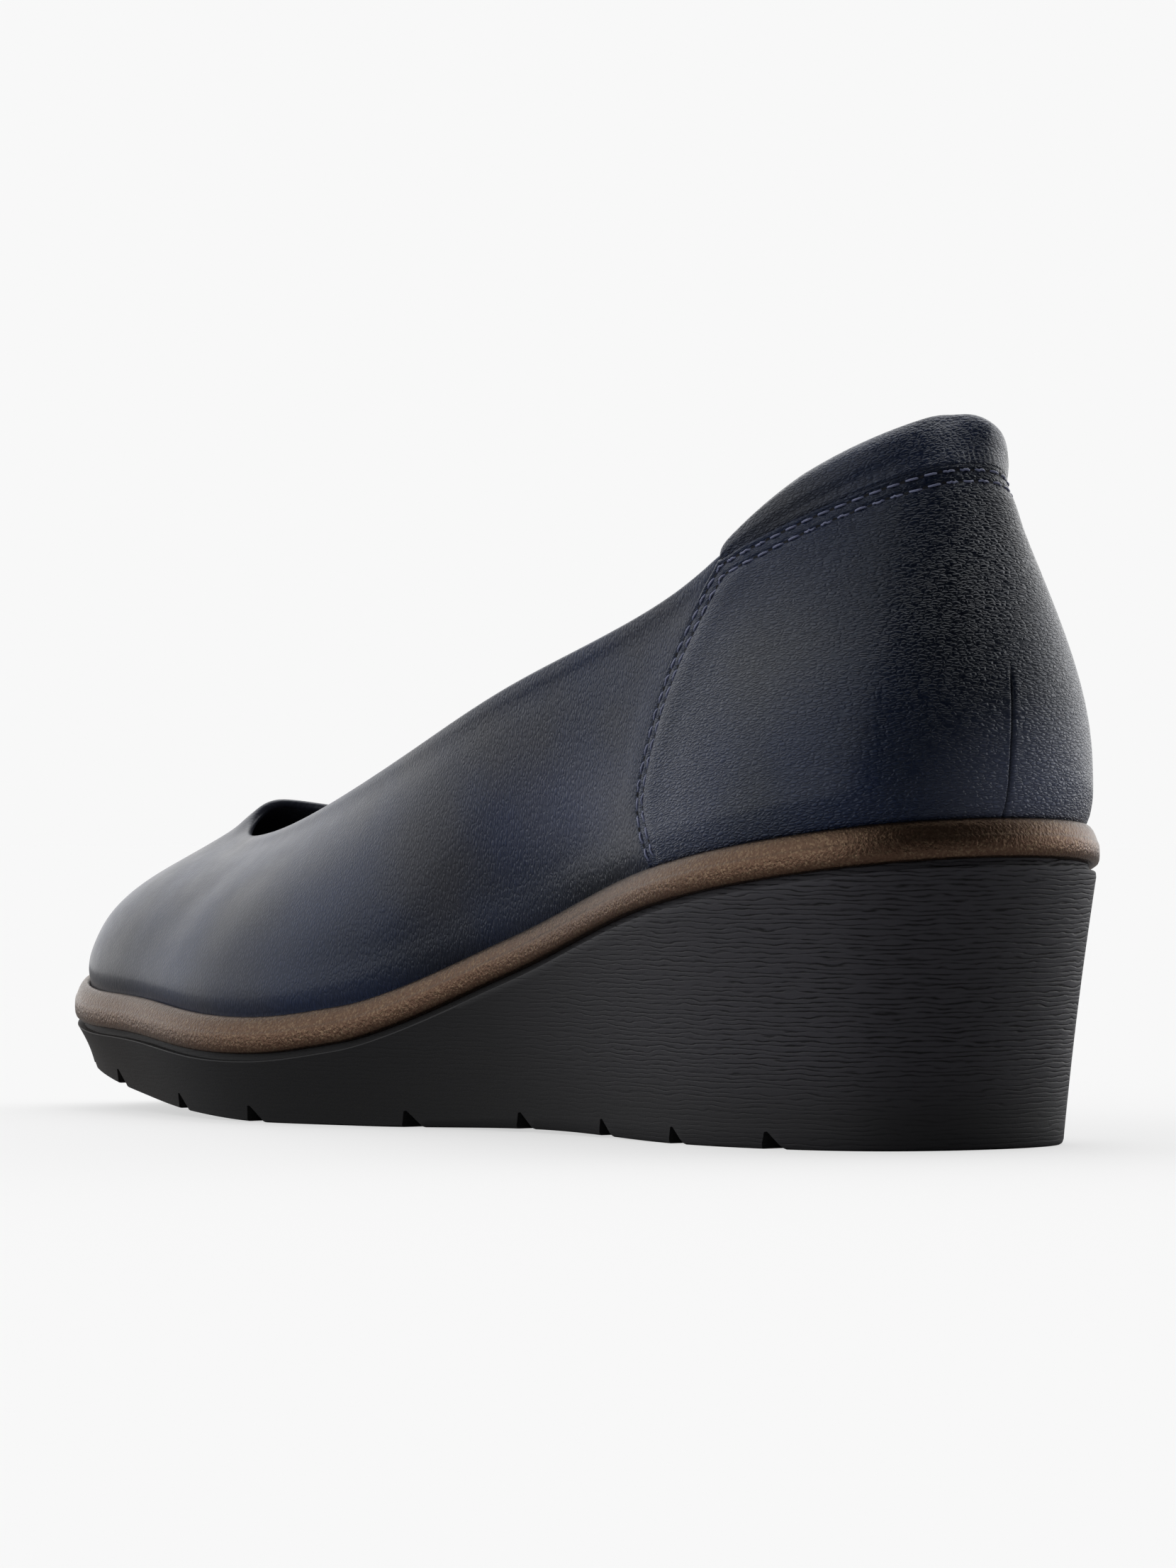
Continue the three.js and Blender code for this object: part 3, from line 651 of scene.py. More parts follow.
def soft_waves(points, size, seed):
    """Slow, uneven rise and fall over a surface, between about -1 and 1, as five crossing waves."""
    waves = 0
    for k in range(5):
        turn = seed * 1.7 + k * 2.4
        direction = np.array([math.cos(turn), math.sin(turn), math.cos(turn * 1.9 + seed)])
        along = (points / size * direction).sum(-1)
        waves = waves + np.sin(along * (1 + 0.37 * k) + turn) / (1 + 0.5 * k)
    return waves / 2.2


FINE_STEP = 0.24  # millimetres between points at a seam
half_shares = spaced(72, (0, 1), 6.5, FINE_STEP, 1.0)
panel_shares = np.concatenate([half_shares / 2, 0.5 + half_shares[1:] / 2])
panel_rows = spaced(56, (1,), 6.0, FINE_STEP, 0.85)
PANEL_SIZE = (len(panel_rows), len(panel_shares))


def panel_place(up, share):
    """Place at a share of the panel's way round; the back seam is at one half."""
    inner, outer = panel_edges(up)
    return np.where(share < 0.5, inner * (1 - 2 * share), outer * (2 * share - 1))


row_grid, share_grid = np.meshgrid(panel_rows, panel_shares, indexing="ij")
up_grid = panel_top(share_grid) * row_grid
place_grid = panel_place(up_grid, share_grid)
plain = wall_point(place_grid, up_grid)


def nearest(points, line):
    """Distance of each point to the nearest point of a line."""
    flat = points.reshape(-1, 3)
    best = np.full(len(flat), 1e9)
    for k in range(0, len(line), 64):
        gap = flat[:, None, :] - line[None, k : k + 64, :]
        best = np.minimum(best, np.sqrt((gap**2).sum(-1)).min(1))
    return best.reshape(points.shape[:-1])


# %% Heel panel with its folded edge, seams and puffs
STITCH_ROWS = (1.15, 3.1)
BACK_SEAM_TOP = 75.5
FOLD_EDGE, FOLD_ROUND = 0.15, 0.8
THREAD_TROUGHS = [(-0.36, row, 0.46) for row in STITCH_ROWS]
BETWEEN_ROWS = [(-0.14, sum(STITCH_ROWS) / 2, 0.9)]
FRONT_PUFF, TOP_PUFF = [(0.3, 5.6, 2.6)], [(0.16, 5.4, 2.4)]
PANEL_TUCK = [(-0.35, 0, 1.1), (0.25, 4.5, 3.2)]
BACK_SEAM, BACK_SEAM_LIPS = [(-0.7, 0, 0.25)], [(0.14, -0.7, 0.5), (0.04, 0.9, 0.6)]
UNEVEN, UNEVEN_SIZE = 0.16, 11.0
to_front = np.minimum(nearest(plain, plain[:, 0]), nearest(plain, plain[:, -1]))
to_top = nearest(plain, plain[-1])
to_border = np.minimum(to_front, to_top)
above_sole = plain[..., 2] - feather_height(plain[..., 1])
folded = np.sqrt(1 - (1 - np.clip(to_border / FOLD_ROUND, 0, 1)) ** 2)
panel_rise = GAP + FOLD_EDGE + (PANEL_THICKNESS - FOLD_EDGE) * folded
panel_rise += ridges(to_border, THREAD_TROUGHS + BETWEEN_ROWS)
panel_rise += ridges(to_front, FRONT_PUFF) + ridges(to_top, TOP_PUFF) * (to_front > 0)
panel_rise += ridges(above_sole, PANEL_TUCK)
seam_mask = 1 / (1 + np.exp((plain[..., 2] - BACK_SEAM_TOP) * 2.2))
seam_slant = np.clip(BACK_SEAM_TOP - plain[..., 2], 0, 25) * 0.07
panel_rise += seam_mask * ridges(plain[..., 0] + seam_slant, BACK_SEAM + BACK_SEAM_LIPS)
panel_rise += UNEVEN * soft_waves(plain, UNEVEN_SIZE, 2) * (1 - bump(to_border, 0, 4))
panel_points = wall_offset(place_grid, up_grid, panel_rise)
panel_points[0, :, 2] = feather_height(panel_points[0, :, 1]) - 0.1
panel_back = wall_offset(place_grid, up_grid, -0.4)
faces = closed_sheet(*PANEL_SIZE)


def leather_skin(grid):
    """Millimetres round the shoe from the back seam, and up it, for each point of a grid."""
    return np.stack([lengths_along(grid, 1, len(half_shares) - 1), lengths_along(grid, 0, 0)], -1)


skin = leather_skin(plain).reshape(-1, 2)
both = np.concatenate([panel_points.reshape(-1, 3), panel_back.reshape(-1, 3)])
panel = make_piece("heel_panel_dressed", both, faces, skin=np.concatenate([skin, skin]))
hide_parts("heel_panel")
print("heel panel faces:", len(faces))

# %% [markdown]
# The collar is leather pulled over foam. It comes out from under the panel's top edge, swells,
# rolls over the topline and runs down inside. Foam gives it one full curve in section, with small
# puckers where the thread pulls it. Cloth pressure could puff it, but the photo shows its section
# well: upright at the sides, and leaning in over the heel beside the back seam. So the profile is
# drawn as one swelling path, and two soft shares, side and lean, change it along the way.

# %% Section of the padded collar
collar_shares = panel_shares
collar_place = CORNER[0] + (CORNER[1] - CORNER[0]) * collar_shares
collar_chord = wall_chord(collar_place)
collar_taper = band_taper(collar_shares)
to_end = np.minimum(collar_shares, 1 - collar_shares)
end_round = np.sqrt(1 - (1 - np.clip(to_end / 0.02, 0, 1)) ** 2)
fill = 0.42 + (0.18 + 0.4 * collar_taper) * end_round
band = collar_band(collar_shares)
inside_drop = 3 + COLLAR_LINING_DROP * collar_taper
lean = bump(collar_shares, 0.57, 0.18)
side = bump(np.abs(collar_shares - 0.5), 0.27, 0.16)
flat = np.zeros_like(band)
# Section through the collar: out from the wall's face, and up from the topline, in millimetres.
SECTION = [
    (flat + 0.5, -band - 0.8),
    (flat + 1.15, 0.15 - band),
    (1.5 - 0.9 * lean, -0.55 * band),
    (1.9 - 2.3 * lean + 0.3 * side, flat),
    (1.5 - 3.0 * lean + 0.5 * side, 2.2 - 0.3 * lean + 0.7 * side),
    (-0.6 - 2.0 * lean + 0.2 * side, 3.4 - 0.1 * lean + 1.2 * side),
    (-3.1 - 0.8 * lean, 2.7 - 0.2 * lean + 0.8 * side),
    (flat - 4.7, 0.6 + 0.3 * side),
    (flat - 5.1, flat - 2.4),
    (flat - 4.6, -0.45 * inside_drop),
    (flat - 3.4, -0.8 * inside_drop),
    (flat - 2.15, -inside_drop),
]
SECTION_ROWS = 60


def smooth_path(knots, count):
    """Points on a curve that passes through every knot, evenly spread between knots."""
    knots = np.array(knots)
    at = np.linspace(0, len(knots) - 1, count)
    i = np.clip(at.astype(int), 0, len(knots) - 2)
    share = (at - i).reshape((-1,) + (1,) * (knots.ndim - 1))
    slopes = np.gradient(knots, axis=0)
    return hermite(knots[i], knots[i + 1], slopes[i], slopes[i + 1], 1.0, share)[0]


print("collar section: knots", len(SECTION), "rows", SECTION_ROWS)

# %% Padded collar
PUCKER, PUCKER_PITCH = 0.07, 3.0
COLLAR_WAVES, COLLAR_WAVE_SIZE = 0.12, 9.0
section = smooth_path(SECTION, SECTION_ROWS)
out_by, up_by = section[:, 0], section[:, 1]
out_by = -WALL / 2 + (out_by + WALL / 2) * fill
above_edge = np.clip(up_by, 0, None) * fill
wall_up = 1 + np.clip(up_by, None, 0) / collar_chord
at_seam = bump(np.abs(up_by + band - 1.6), 0, 1.1) * (out_by > -1) * collar_taper
pucker = np.sin(collar_place * 2 * math.pi / PUCKER_PITCH) * at_seam
collar_points = wall_offset(collar_place[None], wall_up, out_by + PUCKER * pucker)
collar_points += climb_at_edge(collar_place)[None] * above_edge[..., None]
waves = COLLAR_WAVES * soft_waves(collar_points, COLLAR_WAVE_SIZE, 5)
collar_points += wall_normal(collar_place, 1.0)[None] * waves[..., None]
columns = len(collar_place)
faces = grid_faces(SECTION_ROWS, columns, round_rows=True)
middle = SECTION_ROWS * columns
for r in range(SECTION_ROWS):
    here, above = r * columns, (r + 1) % SECTION_ROWS * columns
    faces.append((above, here, middle))
    faces.append((here + columns - 1, above + columns - 1, middle + 1))
skin = leather_skin(collar_points)
ends = collar_points[:, [0, -1]].mean(0)
both = np.concatenate([collar_points.reshape(-1, 3), ends])
skin = np.concatenate([skin.reshape(-1, 2), skin[:, [0, -1]].mean(0)])
collar = make_piece("collar_dressed", both, faces, skin=skin)
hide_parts("collar_pad")
topline_run = np.linalg.norm(np.diff(collar_points[SECTION_ROWS // 2], axis=0), axis=-1).sum()
print("collar faces:", len(faces), "length along its top:", round(topline_run), "mm")

# %% [markdown]
# The insole is a padded sock over the footbed. Only a little of it shows through the throat, but
# from above it is the floor of the whole shoe, so it gets a soft rounded rim, a pressed line
# inside it and a slight heel cup. A flat plate would look like card, and a cloth simulation would
# swell far more than a sock this thin. The two ends are cut 2 mm short, which leaves clean quads.

# %% Insole
HALF = 130
END_CUT = 2.0
RIM_SHARE, RIM_ROUND = 0.72, 1.6
HEEL_CUP, SEAM_DEPTH = 1.1, 0.5
outer_places = np.linspace(END_CUT, TIP_TRAVEL - END_CUT, HALF + 1)
inner_places = np.linspace(LAP - END_CUT, TIP_TRAVEL + END_CUT, HALF + 1)
shares = (1 - np.cos(np.linspace(0, math.pi, 41))) / 2
left, right = [upper_foot(at, WALL + GAP * 2) for at in (outer_places, inner_places)]
insole_points = left[:, None] * (1 - shares[None, :, None]) + right[:, None] * shares[None, :, None]
rim_line = np.concatenate([left, right[::-1]])
from_rim = nearest(insole_points * [1, 1, 0], rim_line * [1, 1, 0])
base = feather_height(insole_points[..., 1]) - RAND_RECESS + GAP
crown = RIM_SHARE + (1 - RIM_SHARE) * np.sqrt(1 - (1 - np.clip(from_rim / RIM_ROUND, 0, 1)) ** 2)
cup = HEEL_CUP * np.exp(-from_rim / 7.0) * np.exp(-((insole_points[..., 1] / 70) ** 2))
seam = SEAM_DEPTH * bump(from_rim, 3.4, 0.7) * (from_rim > 0)
insole_points[..., 2] = base + INSOLE_THICKNESS * crown + cup - seam
insole_back = np.concatenate([insole_points[..., :2], base[..., None]], -1)
faces = [face[::-1] for face in closed_sheet(HALF + 1, len(shares))]
skin = np.stack([insole_points[..., 0] + 200, insole_points[..., 1]], -1).reshape(-1, 2)
both = np.concatenate([insole_points.reshape(-1, 3), insole_back.reshape(-1, 3)])
insole = make_piece("insole_dressed", both, faces, skin=np.concatenate([skin, skin]))
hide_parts("insole")
print("insole faces:", len(faces))

# %% [markdown]
# Two rows of thread run up each front edge, turn the corner and follow the panel's top edge.
# Each stitch is a short bowed piece of thread whose ends dive into the leather, with a needle hole
# between it and the next, drawn as a dark dish of painted shade. An array along a curve would float
# over the puffed leather, so each one is seated on the finished panel mesh, along a path a fixed
# distance inside the panel's border.

# %% Stitch paths
from mathutils.bvhtree import BVHTree

STITCH_PITCH = 3.0
STITCH_LENGTH = 2.35
THREAD = 0.21
rows, columns = PANEL_SIZE
panel_corners = [Vector(p) for p in panel_points.reshape(-1, 3)]
panel_tree = BVHTree.FromPolygons(panel_corners, grid_faces(rows, columns))
border_index = [r * columns + columns - 1 for r in range(rows)]
border_index += [(rows - 1) * columns + c for c in range(columns - 2, -1, -1)]
border_index += [r * columns for r in range(rows - 2, -1, -1)]
border = plain.reshape(-1, 3)[border_index]
border_normal = wall_normal(place_grid.ravel()[border_index], up_grid.ravel()[border_index])


def points_at(line, at):
    """Points on a line at given lengths from its start."""
    run = lengths_along(line, 0, 0)
    return np.stack([np.interp(at, run, line[:, k]) for k in range(3)], -1)


def inset_path(distance):
    """Path on the panel, a fixed distance inside its border."""
    ahead = np.roll(border, -1, 0) - np.roll(border, 1, 0)
    ahead[0], ahead[-1] = border[1] - border[0], border[-1] - border[-2]
    ahead /= np.linalg.norm(ahead, axis=1, keepdims=True)
    inward = np.cross(ahead, border_normal)
    line = border + inward * distance
    keep = nearest(line, border) > distance - 0.06
    line = line[keep]
    line = points_at(line, np.arange(0, lengths_along(line, 0, 0)[-1], 0.15))
    for _ in range(30):
        line[1:-1] = (line[:-2] + 2 * line[1:-1] + line[2:]) / 4
    return line


def on_panel(point):
    """Nearest spot on the panel and the direction straight out of it."""
    hit, normal, _, _ = panel_tree.find_nearest(Vector(point))
    return np.array(hit), np.array(normal)


def add_tube(points, faces, centres, side, rise, radii, sides=8):
    """Round cord through centres, closed at both ends."""
    start = len(points)
    for centre, s, n, radius in zip(centres, side, rise, radii):
        for k in range(sides):
            turn = 2 * math.pi * k / sides
            points.append(centre + s * math.cos(turn) * radius + n * math.sin(turn) * radius)
    for r in range(len(centres) - 1):
        for k in range(sides):
            a, b = start + r * sides + k, start + r * sides + (k + 1) % sides
            faces.append((a, b, b + sides, a + sides))
    faces.append(tuple(start + k for k in range(sides))[::-1])
    faces.append(tuple(start + (len(centres) - 1) * sides + k for k in range(sides)))


# %% Stitches, and needle holes of painted shade
STITCH_DIVE, STITCH_ARCH, STITCH_BOW, STITCH_SLANT = 0.28, 0.56, 0.1, 0.1
HOLE_SIDES, HOLE_LENGTH, HOLE_WIDTH, HOLE_DEPTH = 10, 0.42, 0.3, 0.5
stitch_points, stitch_faces, hole_points, hole_faces = [], [], [], []


def add_stitch(path, begin):
    """One bowed stitch, and the direction it runs in."""
    shares = np.linspace(0, 1, 9)
    seated = [on_panel(p) for p in points_at(path, begin + shares * STITCH_LENGTH)]
    spots, rises = np.array([s[0] for s in seated]), np.array([s[1] for s in seated])
    ahead = (spots[-1] - spots[0]) / np.linalg.norm(spots[-1] - spots[0])
    sides = np.cross(rises, ahead)
    sides /= np.linalg.norm(sides, axis=1, keepdims=True)
    arch = np.sin(math.pi * shares)
    lift = STITCH_ARCH * arch**0.55 - STITCH_DIVE
    bow = STITCH_BOW * arch + STITCH_SLANT * (shares - 0.5)
    centres = spots + rises * lift[:, None] - sides * bow[:, None]
    radii = THREAD * (0.72 + 0.28 * arch**0.5)
    add_tube(stitch_points, stitch_faces, centres, sides, rises, radii)
    return ahead


def add_hole(spot, rise, ahead):
    """A shallow dark dish of painted shade with a cone below it, longer along the seam than across
    it.
    """
    across, first = np.cross(rise, ahead), len(hole_points)
    for k in range(HOLE_SIDES):
        turn = 2 * math.pi * k / HOLE_SIDES
        reach = ahead * HOLE_LENGTH * math.cos(turn) + across * HOLE_WIDTH * math.sin(turn)
        hole_points.append(spot + rise * 0.06 + reach)
    hole_points.extend([spot + rise * 0.05, spot - rise * HOLE_DEPTH])
    for k in range(HOLE_SIDES):
        here, after = first + k, first + (k + 1) % HOLE_SIDES
        hole_faces.append((here, after, first + HOLE_SIDES))
        hole_faces.append((after, here, first + HOLE_SIDES + 1))


stitch_count = 0
for distance in STITCH_ROWS:
    path = inset_path(distance)
    length = lengths_along(path, 0, 0)[-1]
    begin = 1.0
    while begin + STITCH_LENGTH < length - 0.5:
        ahead = add_stitch(path, begin)
        gap_at = begin + (STITCH_LENGTH + STITCH_PITCH) / 2
        spot, rise = on_panel(points_at(path, gap_at))
        add_hole(spot, rise, ahead)
        stitch_count += 1
        begin += STITCH_PITCH
    print("thread row", distance, "mm inside the border:", round(length), "mm of seam")
stitches = make_piece("seam_stitches", stitch_points, stitch_faces)
holes = make_piece("needle_holes", hole_points, hole_faces, smooth=False)
print("stitches:", stitch_count)

# %% [markdown]
# A material is a network of nodes. The same few effects come back on several pieces, so each is
# built once as a node group with named inputs and outputs, and placed with its own values.
# Short helpers add one node each, so that a material reads like a list of steps.


# %% Node helpers
FLOAT, VECTOR = "NodeSocketFloat", "NodeSocketVector"


def new_group(name, inputs, outputs):
    """An empty shader node group, with its inputs and outputs as seen from inside."""
    group = bpy.data.node_groups.new(name, "ShaderNodeTree")
    for label, kind, value in inputs:
        socket = group.interface.new_socket(label, in_out="INPUT", socket_type=kind)
        if value is not None:
            socket.default_value = value
    for label, kind in outputs:
        group.interface.new_socket(label, in_out="OUTPUT", socket_type=kind)
    inside = group.nodes.new("NodeGroupInput").outputs
    return group, inside, group.nodes.new("NodeGroupOutput").inputs


def feed(tree, node, sources):
    """Give the inputs of a node their links or their values."""
    for socket, source in sources.items():
        if hasattr(source, "is_output"):
            tree.links.new(source, node.inputs[socket])
        else:
            node.inputs[socket].default_value = source


def add_node(tree, kind, sources=None, **settings):
    """A node with its settings, its input values and its links."""
    node = tree.nodes.new(kind)
    for key, value in settings.items():
        setattr(node, key, value)
    feed(tree, node, sources or {})
    return node


def use_group(tree, group, **sources):
    """A node group placed in a material, its inputs linked or set."""
    return add_node(tree, "ShaderNodeGroup", sources, node_tree=group).outputs


# %% Helpers for sums, ranges and noise
def math_node(tree, operation, *values):
    """Arithmetic on one to three numbers."""
    return add_node(tree, "ShaderNodeMath", dict(enumerate(values)), operation=operation).outputs[0]


def vector_node(tree, operation, a, b=None):
    """Arithmetic on vectors; lengths and dot products come out as numbers."""
    sources = {0: a}
    if b is not None:
        sources["Scale" if operation == "SCALE" else 1] = b
    outputs = add_node(tree, "ShaderNodeVectorMath", sources, operation=operation).outputs
    return outputs["Value" if operation in ("LENGTH", "DOT_PRODUCT") else "Vector"]


def ramp_node(tree, value, low, high, at_low=0.0, at_high=1.0, curve="LINEAR"):
    """A value brought from one range into another and held at its ends."""
    sources = {0: value, 1: low, 2: high, 3: at_low, 4: at_high}
    return add_node(tree, "ShaderNodeMapRange", sources, interpolation_type=curve).outputs[0]


def noise_node(tree, place, scale, detail=2.0):
    """Cloudy noise; its outputs are Fac and Color."""
    sources = {"Vector": place, "Scale": scale, "Detail": detail}
    return add_node(tree, "ShaderNodeTexNoise", sources).outputs


def cell_node(tree, place, scale, **settings):
    """A pattern of cells, like the pebbles of leather."""
    sources = {"Vector": place, "Scale": scale}
    return add_node(tree, "ShaderNodeTexVoronoi", sources, **settings)


# %% [markdown]
# Leather grain is a net of small raised pebbles with fine valleys between them. Voronoi cells give
# the pebbles, and a noise that pushes the cells about makes them uneven. Stretching the cells in
# one direction gives the long wavy lines that lasting pulls into the leather.

# %% Grain group
PORE_SHARE, VALLEY_WIDTH = 0.3, 0.3
grain, grain_in, grain_out = new_group(
    "leather_grain",
    [("Skin", VECTOR, None), ("Length", FLOAT, 1.2), ("Width", FLOAT, 0.5), ("Waviness", FLOAT, 0.5)],
    [("Height", FLOAT), ("Valley", FLOAT)],
)
per_length = math_node(grain, "DIVIDE", 1.0, grain_in["Length"])
per_width = math_node(grain, "DIVIDE", 1.0, grain_in["Width"])
stretch = add_node(grain, "ShaderNodeCombineXYZ", {0: per_length, 1: per_width}).outputs[0]
scaled = vector_node(grain, "MULTIPLY", grain_in["Skin"], stretch)
drift = noise_node(grain, scaled, 0.6)["Color"]
pushed = vector_node(grain, "SUBTRACT", drift, (0.5, 0.5, 0.5))
pushed = vector_node(grain, "SCALE", pushed, grain_in["Waviness"])
moved = vector_node(grain, "ADD", scaled, pushed)
cells = cell_node(grain, moved, 1.0, feature="SMOOTH_F1")
feed(grain, cells, {"Smoothness": 0.35})
valleys = cell_node(grain, moved, 1.0, feature="DISTANCE_TO_EDGE")
crease = ramp_node(grain, valleys.outputs["Distance"], 0.0, VALLEY_WIDTH, curve="SMOOTHSTEP")
pebble = math_node(grain, "MULTIPLY_ADD", cells.outputs["Distance"], -0.6, crease)
pores = noise_node(grain, moved, 2.6, 3.0)["Fac"]
height = math_node(grain, "MULTIPLY_ADD", pores, PORE_SHARE, pebble)
grain.links.new(height, grain_out["Height"])
grain.links.new(math_node(grain, "SUBTRACT", 1.0, crease), grain_out["Valley"])
print("grain group:", len(grain.nodes), "nodes")

# %% [markdown]
# Finished leather is never one flat colour. Dye and polish leave broad, cloudy patches, here a
# warm grey over navy. Two scales of noise are enough, because the eye reads them as one surface.

# %% Cloudy dye group
cloud, cloud_in, cloud_out = new_group(
    "cloudy_dye",
    [("Position", VECTOR, None), ("Size", FLOAT, 30.0), ("Low", FLOAT, 0.35), ("High", FLOAT, 0.7)],
    [("Mask", FLOAT), ("Fine", FLOAT)],
)
per_metre = math_node(cloud, "DIVIDE", 1 / MM, cloud_in["Size"])
broad = noise_node(cloud, cloud_in["Position"], per_metre, 2.5)["Fac"]
mask = ramp_node(cloud, broad, cloud_in["Low"], cloud_in["High"], curve="SMOOTHSTEP")
cloud.links.new(mask, cloud_out["Mask"])
nine_times = math_node(cloud, "MULTIPLY", per_metre, 9.0)
fine = noise_node(cloud, cloud_in["Position"], nine_times, 3.0)["Fac"]
cloud.links.new(fine, cloud_out["Fine"])
print("dye group:", len(cloud.nodes), "nodes")

# %% [markdown]
# Each groove beside a seam or a folded edge gets painted shade. The Pointiness of the
# mesh finds them, because it is low in a groove, so one group can darken them on any piece.

# %% Painted groove shade group
groove_shade, groove_shade_in, groove_shade_out = new_group(
    "painted_groove_shade", [("Softness", FLOAT, 0.06)], [("Groove", FLOAT)]
)
pointy = add_node(groove_shade, "ShaderNodeNewGeometry").outputs["Pointiness"]
deepest = math_node(groove_shade, "SUBTRACT", 0.5, groove_shade_in["Softness"])
groove_shade.links.new(ramp_node(groove_shade, pointy, 0.49, deepest), groove_shade_out["Groove"])
print("groove group:", len(groove_shade.nodes), "nodes")

# %% [markdown]
# Light and shade are painted into the leather's colour as soft darker and paler spots with no edge:
# painted shade and painted light. One soft spot is a mask that fades with distance from its middle,
# so a few of them shade a whole shoe.

# %% Painted shade and light spot group
SPOT_END = 1.6
spot, spot_in, spot_out = new_group(
    "painted_shade_and_light_spot",
    [(label, VECTOR, None) for label in ("Position", "Middle", "Reach")] + [("Amount", FLOAT, 0.5)],
    [("Mask", FLOAT)],
)
away = vector_node(spot, "SUBTRACT", spot_in["Position"], spot_in["Middle"])
far = vector_node(spot, "LENGTH", vector_node(spot, "DIVIDE", away, spot_in["Reach"]))
faded = ramp_node(spot, far, 0.0, SPOT_END, spot_in["Amount"], 0.0, "SMOOTHSTEP")
spot.links.new(faded, spot_out["Mask"])
print("spot group:", len(spot.nodes), "nodes")

# %% [markdown]
# Colours are given as they would be in a picture editor, so they are written that way and
# turned into light here. The other helpers are the steps that every material takes.


# %% Colour and material helpers
def srgb(red, green, blue):
    """Linear colour from the 0 to 255 values of a picture editor."""

    def one(value):
        share = value / 255
        return share / 12.92 if share <= 0.04045 else ((share + 0.055) / 1.055) ** 2.4

    return (one(red), one(green), one(blue), 1.0)


def new_material(name):
    """A material, its nodes, its shader and the place of a point on its piece, in metres."""
    material = bpy.data.materials.new(name)
    material.use_nodes = True
    tree = material.node_tree
    place = add_node(tree, "ShaderNodeTexCoord").outputs["Object"]
    return material, tree, tree.nodes["Principled BSDF"], place


def mix_colour(tree, share, a, b):
    """From colour a to colour b as the share goes from 0 to 1."""
    return add_node(tree, "ShaderNodeMix", {0: share, 6: a, 7: b}, data_type="RGBA").outputs[2]


def darken(tree, mask, amount, colour, dark):
    """A colour that goes toward a dark one by a part of a mask."""
    return mix_colour(tree, math_node(tree, "MULTIPLY", mask, amount), colour, dark)


def split_axes(tree, vector):
    """The three numbers of a vector."""
    return add_node(tree, "ShaderNodeSeparateXYZ", {0: vector}).outputs


def skin_place(tree):
    """Millimetres over the leather, as laid on the mesh."""
    return add_node(tree, "ShaderNodeUVMap", uv_map="skin").outputs[0]


def relief(tree, height, depth):
    """Small bumps of a given depth in millimetres, as a direction for the shader."""
    return add_node(tree, "ShaderNodeBump", {"Height": height, "Distance": depth * MM}).outputs[0]


# %% [markdown]
# Navy leather, once for the smooth vamp, once for the pebbled heel and once for the collar. All
# share the dye and the grain; only the size, stretch and depth of the pebbles differ, and where
# light and shade are painted on them. Light glances off the polish more than it sinks into the dye,
# so the dye is dark and the shine carries the form. A trace of sheen gives the pale rim of worn nap
# at the edges. Each mark is its middle and its reach in millimetres, its strength and its colour.

# %% Dyes, painted shade and painted light of the leather
NAVY, DARK_NAVY, PALE_NAVY = srgb(28, 41, 72), srgb(7, 11, 21), srgb(74, 81, 108)
LIT_NAVY, WARM_GREY = srgb(104, 111, 138), srgb(66, 66, 66)
# Dark navy marks are painted shade, pale and lit navy marks are painted light, and the warm grey is a
# tone that is also painted lighter.
PANEL_LIGHT_AND_SHADE = [
    ((-9, 7, 86), (20, 24, 30), 0.92, DARK_NAVY),
    ((8, 11, 103), (15, 16, 16), 0.7, DARK_NAVY),
    ((7, 2, 56), (17, 13, 13), 0.85, LIT_NAVY),
    ((-33, 44, 54), (12, 14, 12), 0.35, PALE_NAVY),
    ((-27, 28, 80), (10, 14, 14), 0.5, WARM_GREY),
]
COLLAR_LIGHT_AND_SHADE = [
    ((-7, 8, 90), (18, 20, 22), 0.6, DARK_NAVY),
    ((-25, 34, 104), (10, 18, 10), 0.7, WARM_GREY),
]
VAMP_LIGHT_AND_SHADE = [
    ((-30, 72, 40), (18, 30, 9), 0.9, DARK_NAVY),
    ((-31, 113, 29), (18, 32, 7), 0.65, DARK_NAVY),
    ((-30, 92, 56), (14, 18, 11), 0.3, PALE_NAVY),
    ((-31, 80, 55), (12, 18, 8), 0.5, PALE_NAVY),
]


def lay_light_and_shade(tree, place, marks, colour, rough, polish):
    """Colour, roughness and polish with painted shade and light laid over them; painted shade is also
    smoother.
    """
    for middle, reach, amount, tone in marks:
        middle, reach = tuple((np.array(middle) + SHIFT) * MM), tuple(np.array(reach) * MM)
        mark = use_group(tree, spot, Position=place, Middle=middle, Reach=reach, Amount=amount)
        colour = mix_colour(tree, mark["Mask"], colour, tone)
        if tone is DARK_NAVY:
            rough = math_node(tree, "MULTIPLY_ADD", mark["Mask"], -0.12, rough)
            polish = math_node(tree, "MULTIPLY_ADD", mark["Mask"], -0.2, polish)
    return colour, rough, math_node(tree, "MAXIMUM", polish, 0.0)


# %% Navy leather
LEATHER_SHINE = {
    "Specular IOR Level": 0.25,
    "Specular Tint": (0.8, 0.88, 1.0, 1.0),
    "Coat Roughness": 0.16,
    "Sheen Weight": 0.05,
    "Sheen Roughness": 0.35,
}
TOE_SMOOTHING = (-45 * MM, 45 * MM, 1.0, 0.15)


def upright_place(tree, axes):
    """Millimetres along the shoe and up it, for leather that was pulled over a last."""
    to_middle = math_node(tree, "ABSOLUTE", axes[0])
    climb = math_node(tree, "MULTIPLY_ADD", to_middle, -0.8, axes[2])
    flat = add_node(tree, "ShaderNodeCombineXYZ", {0: axes[1], 1: climb}).outputs[0]
    return vector_node(tree, "SCALE", flat, 1 / MM)


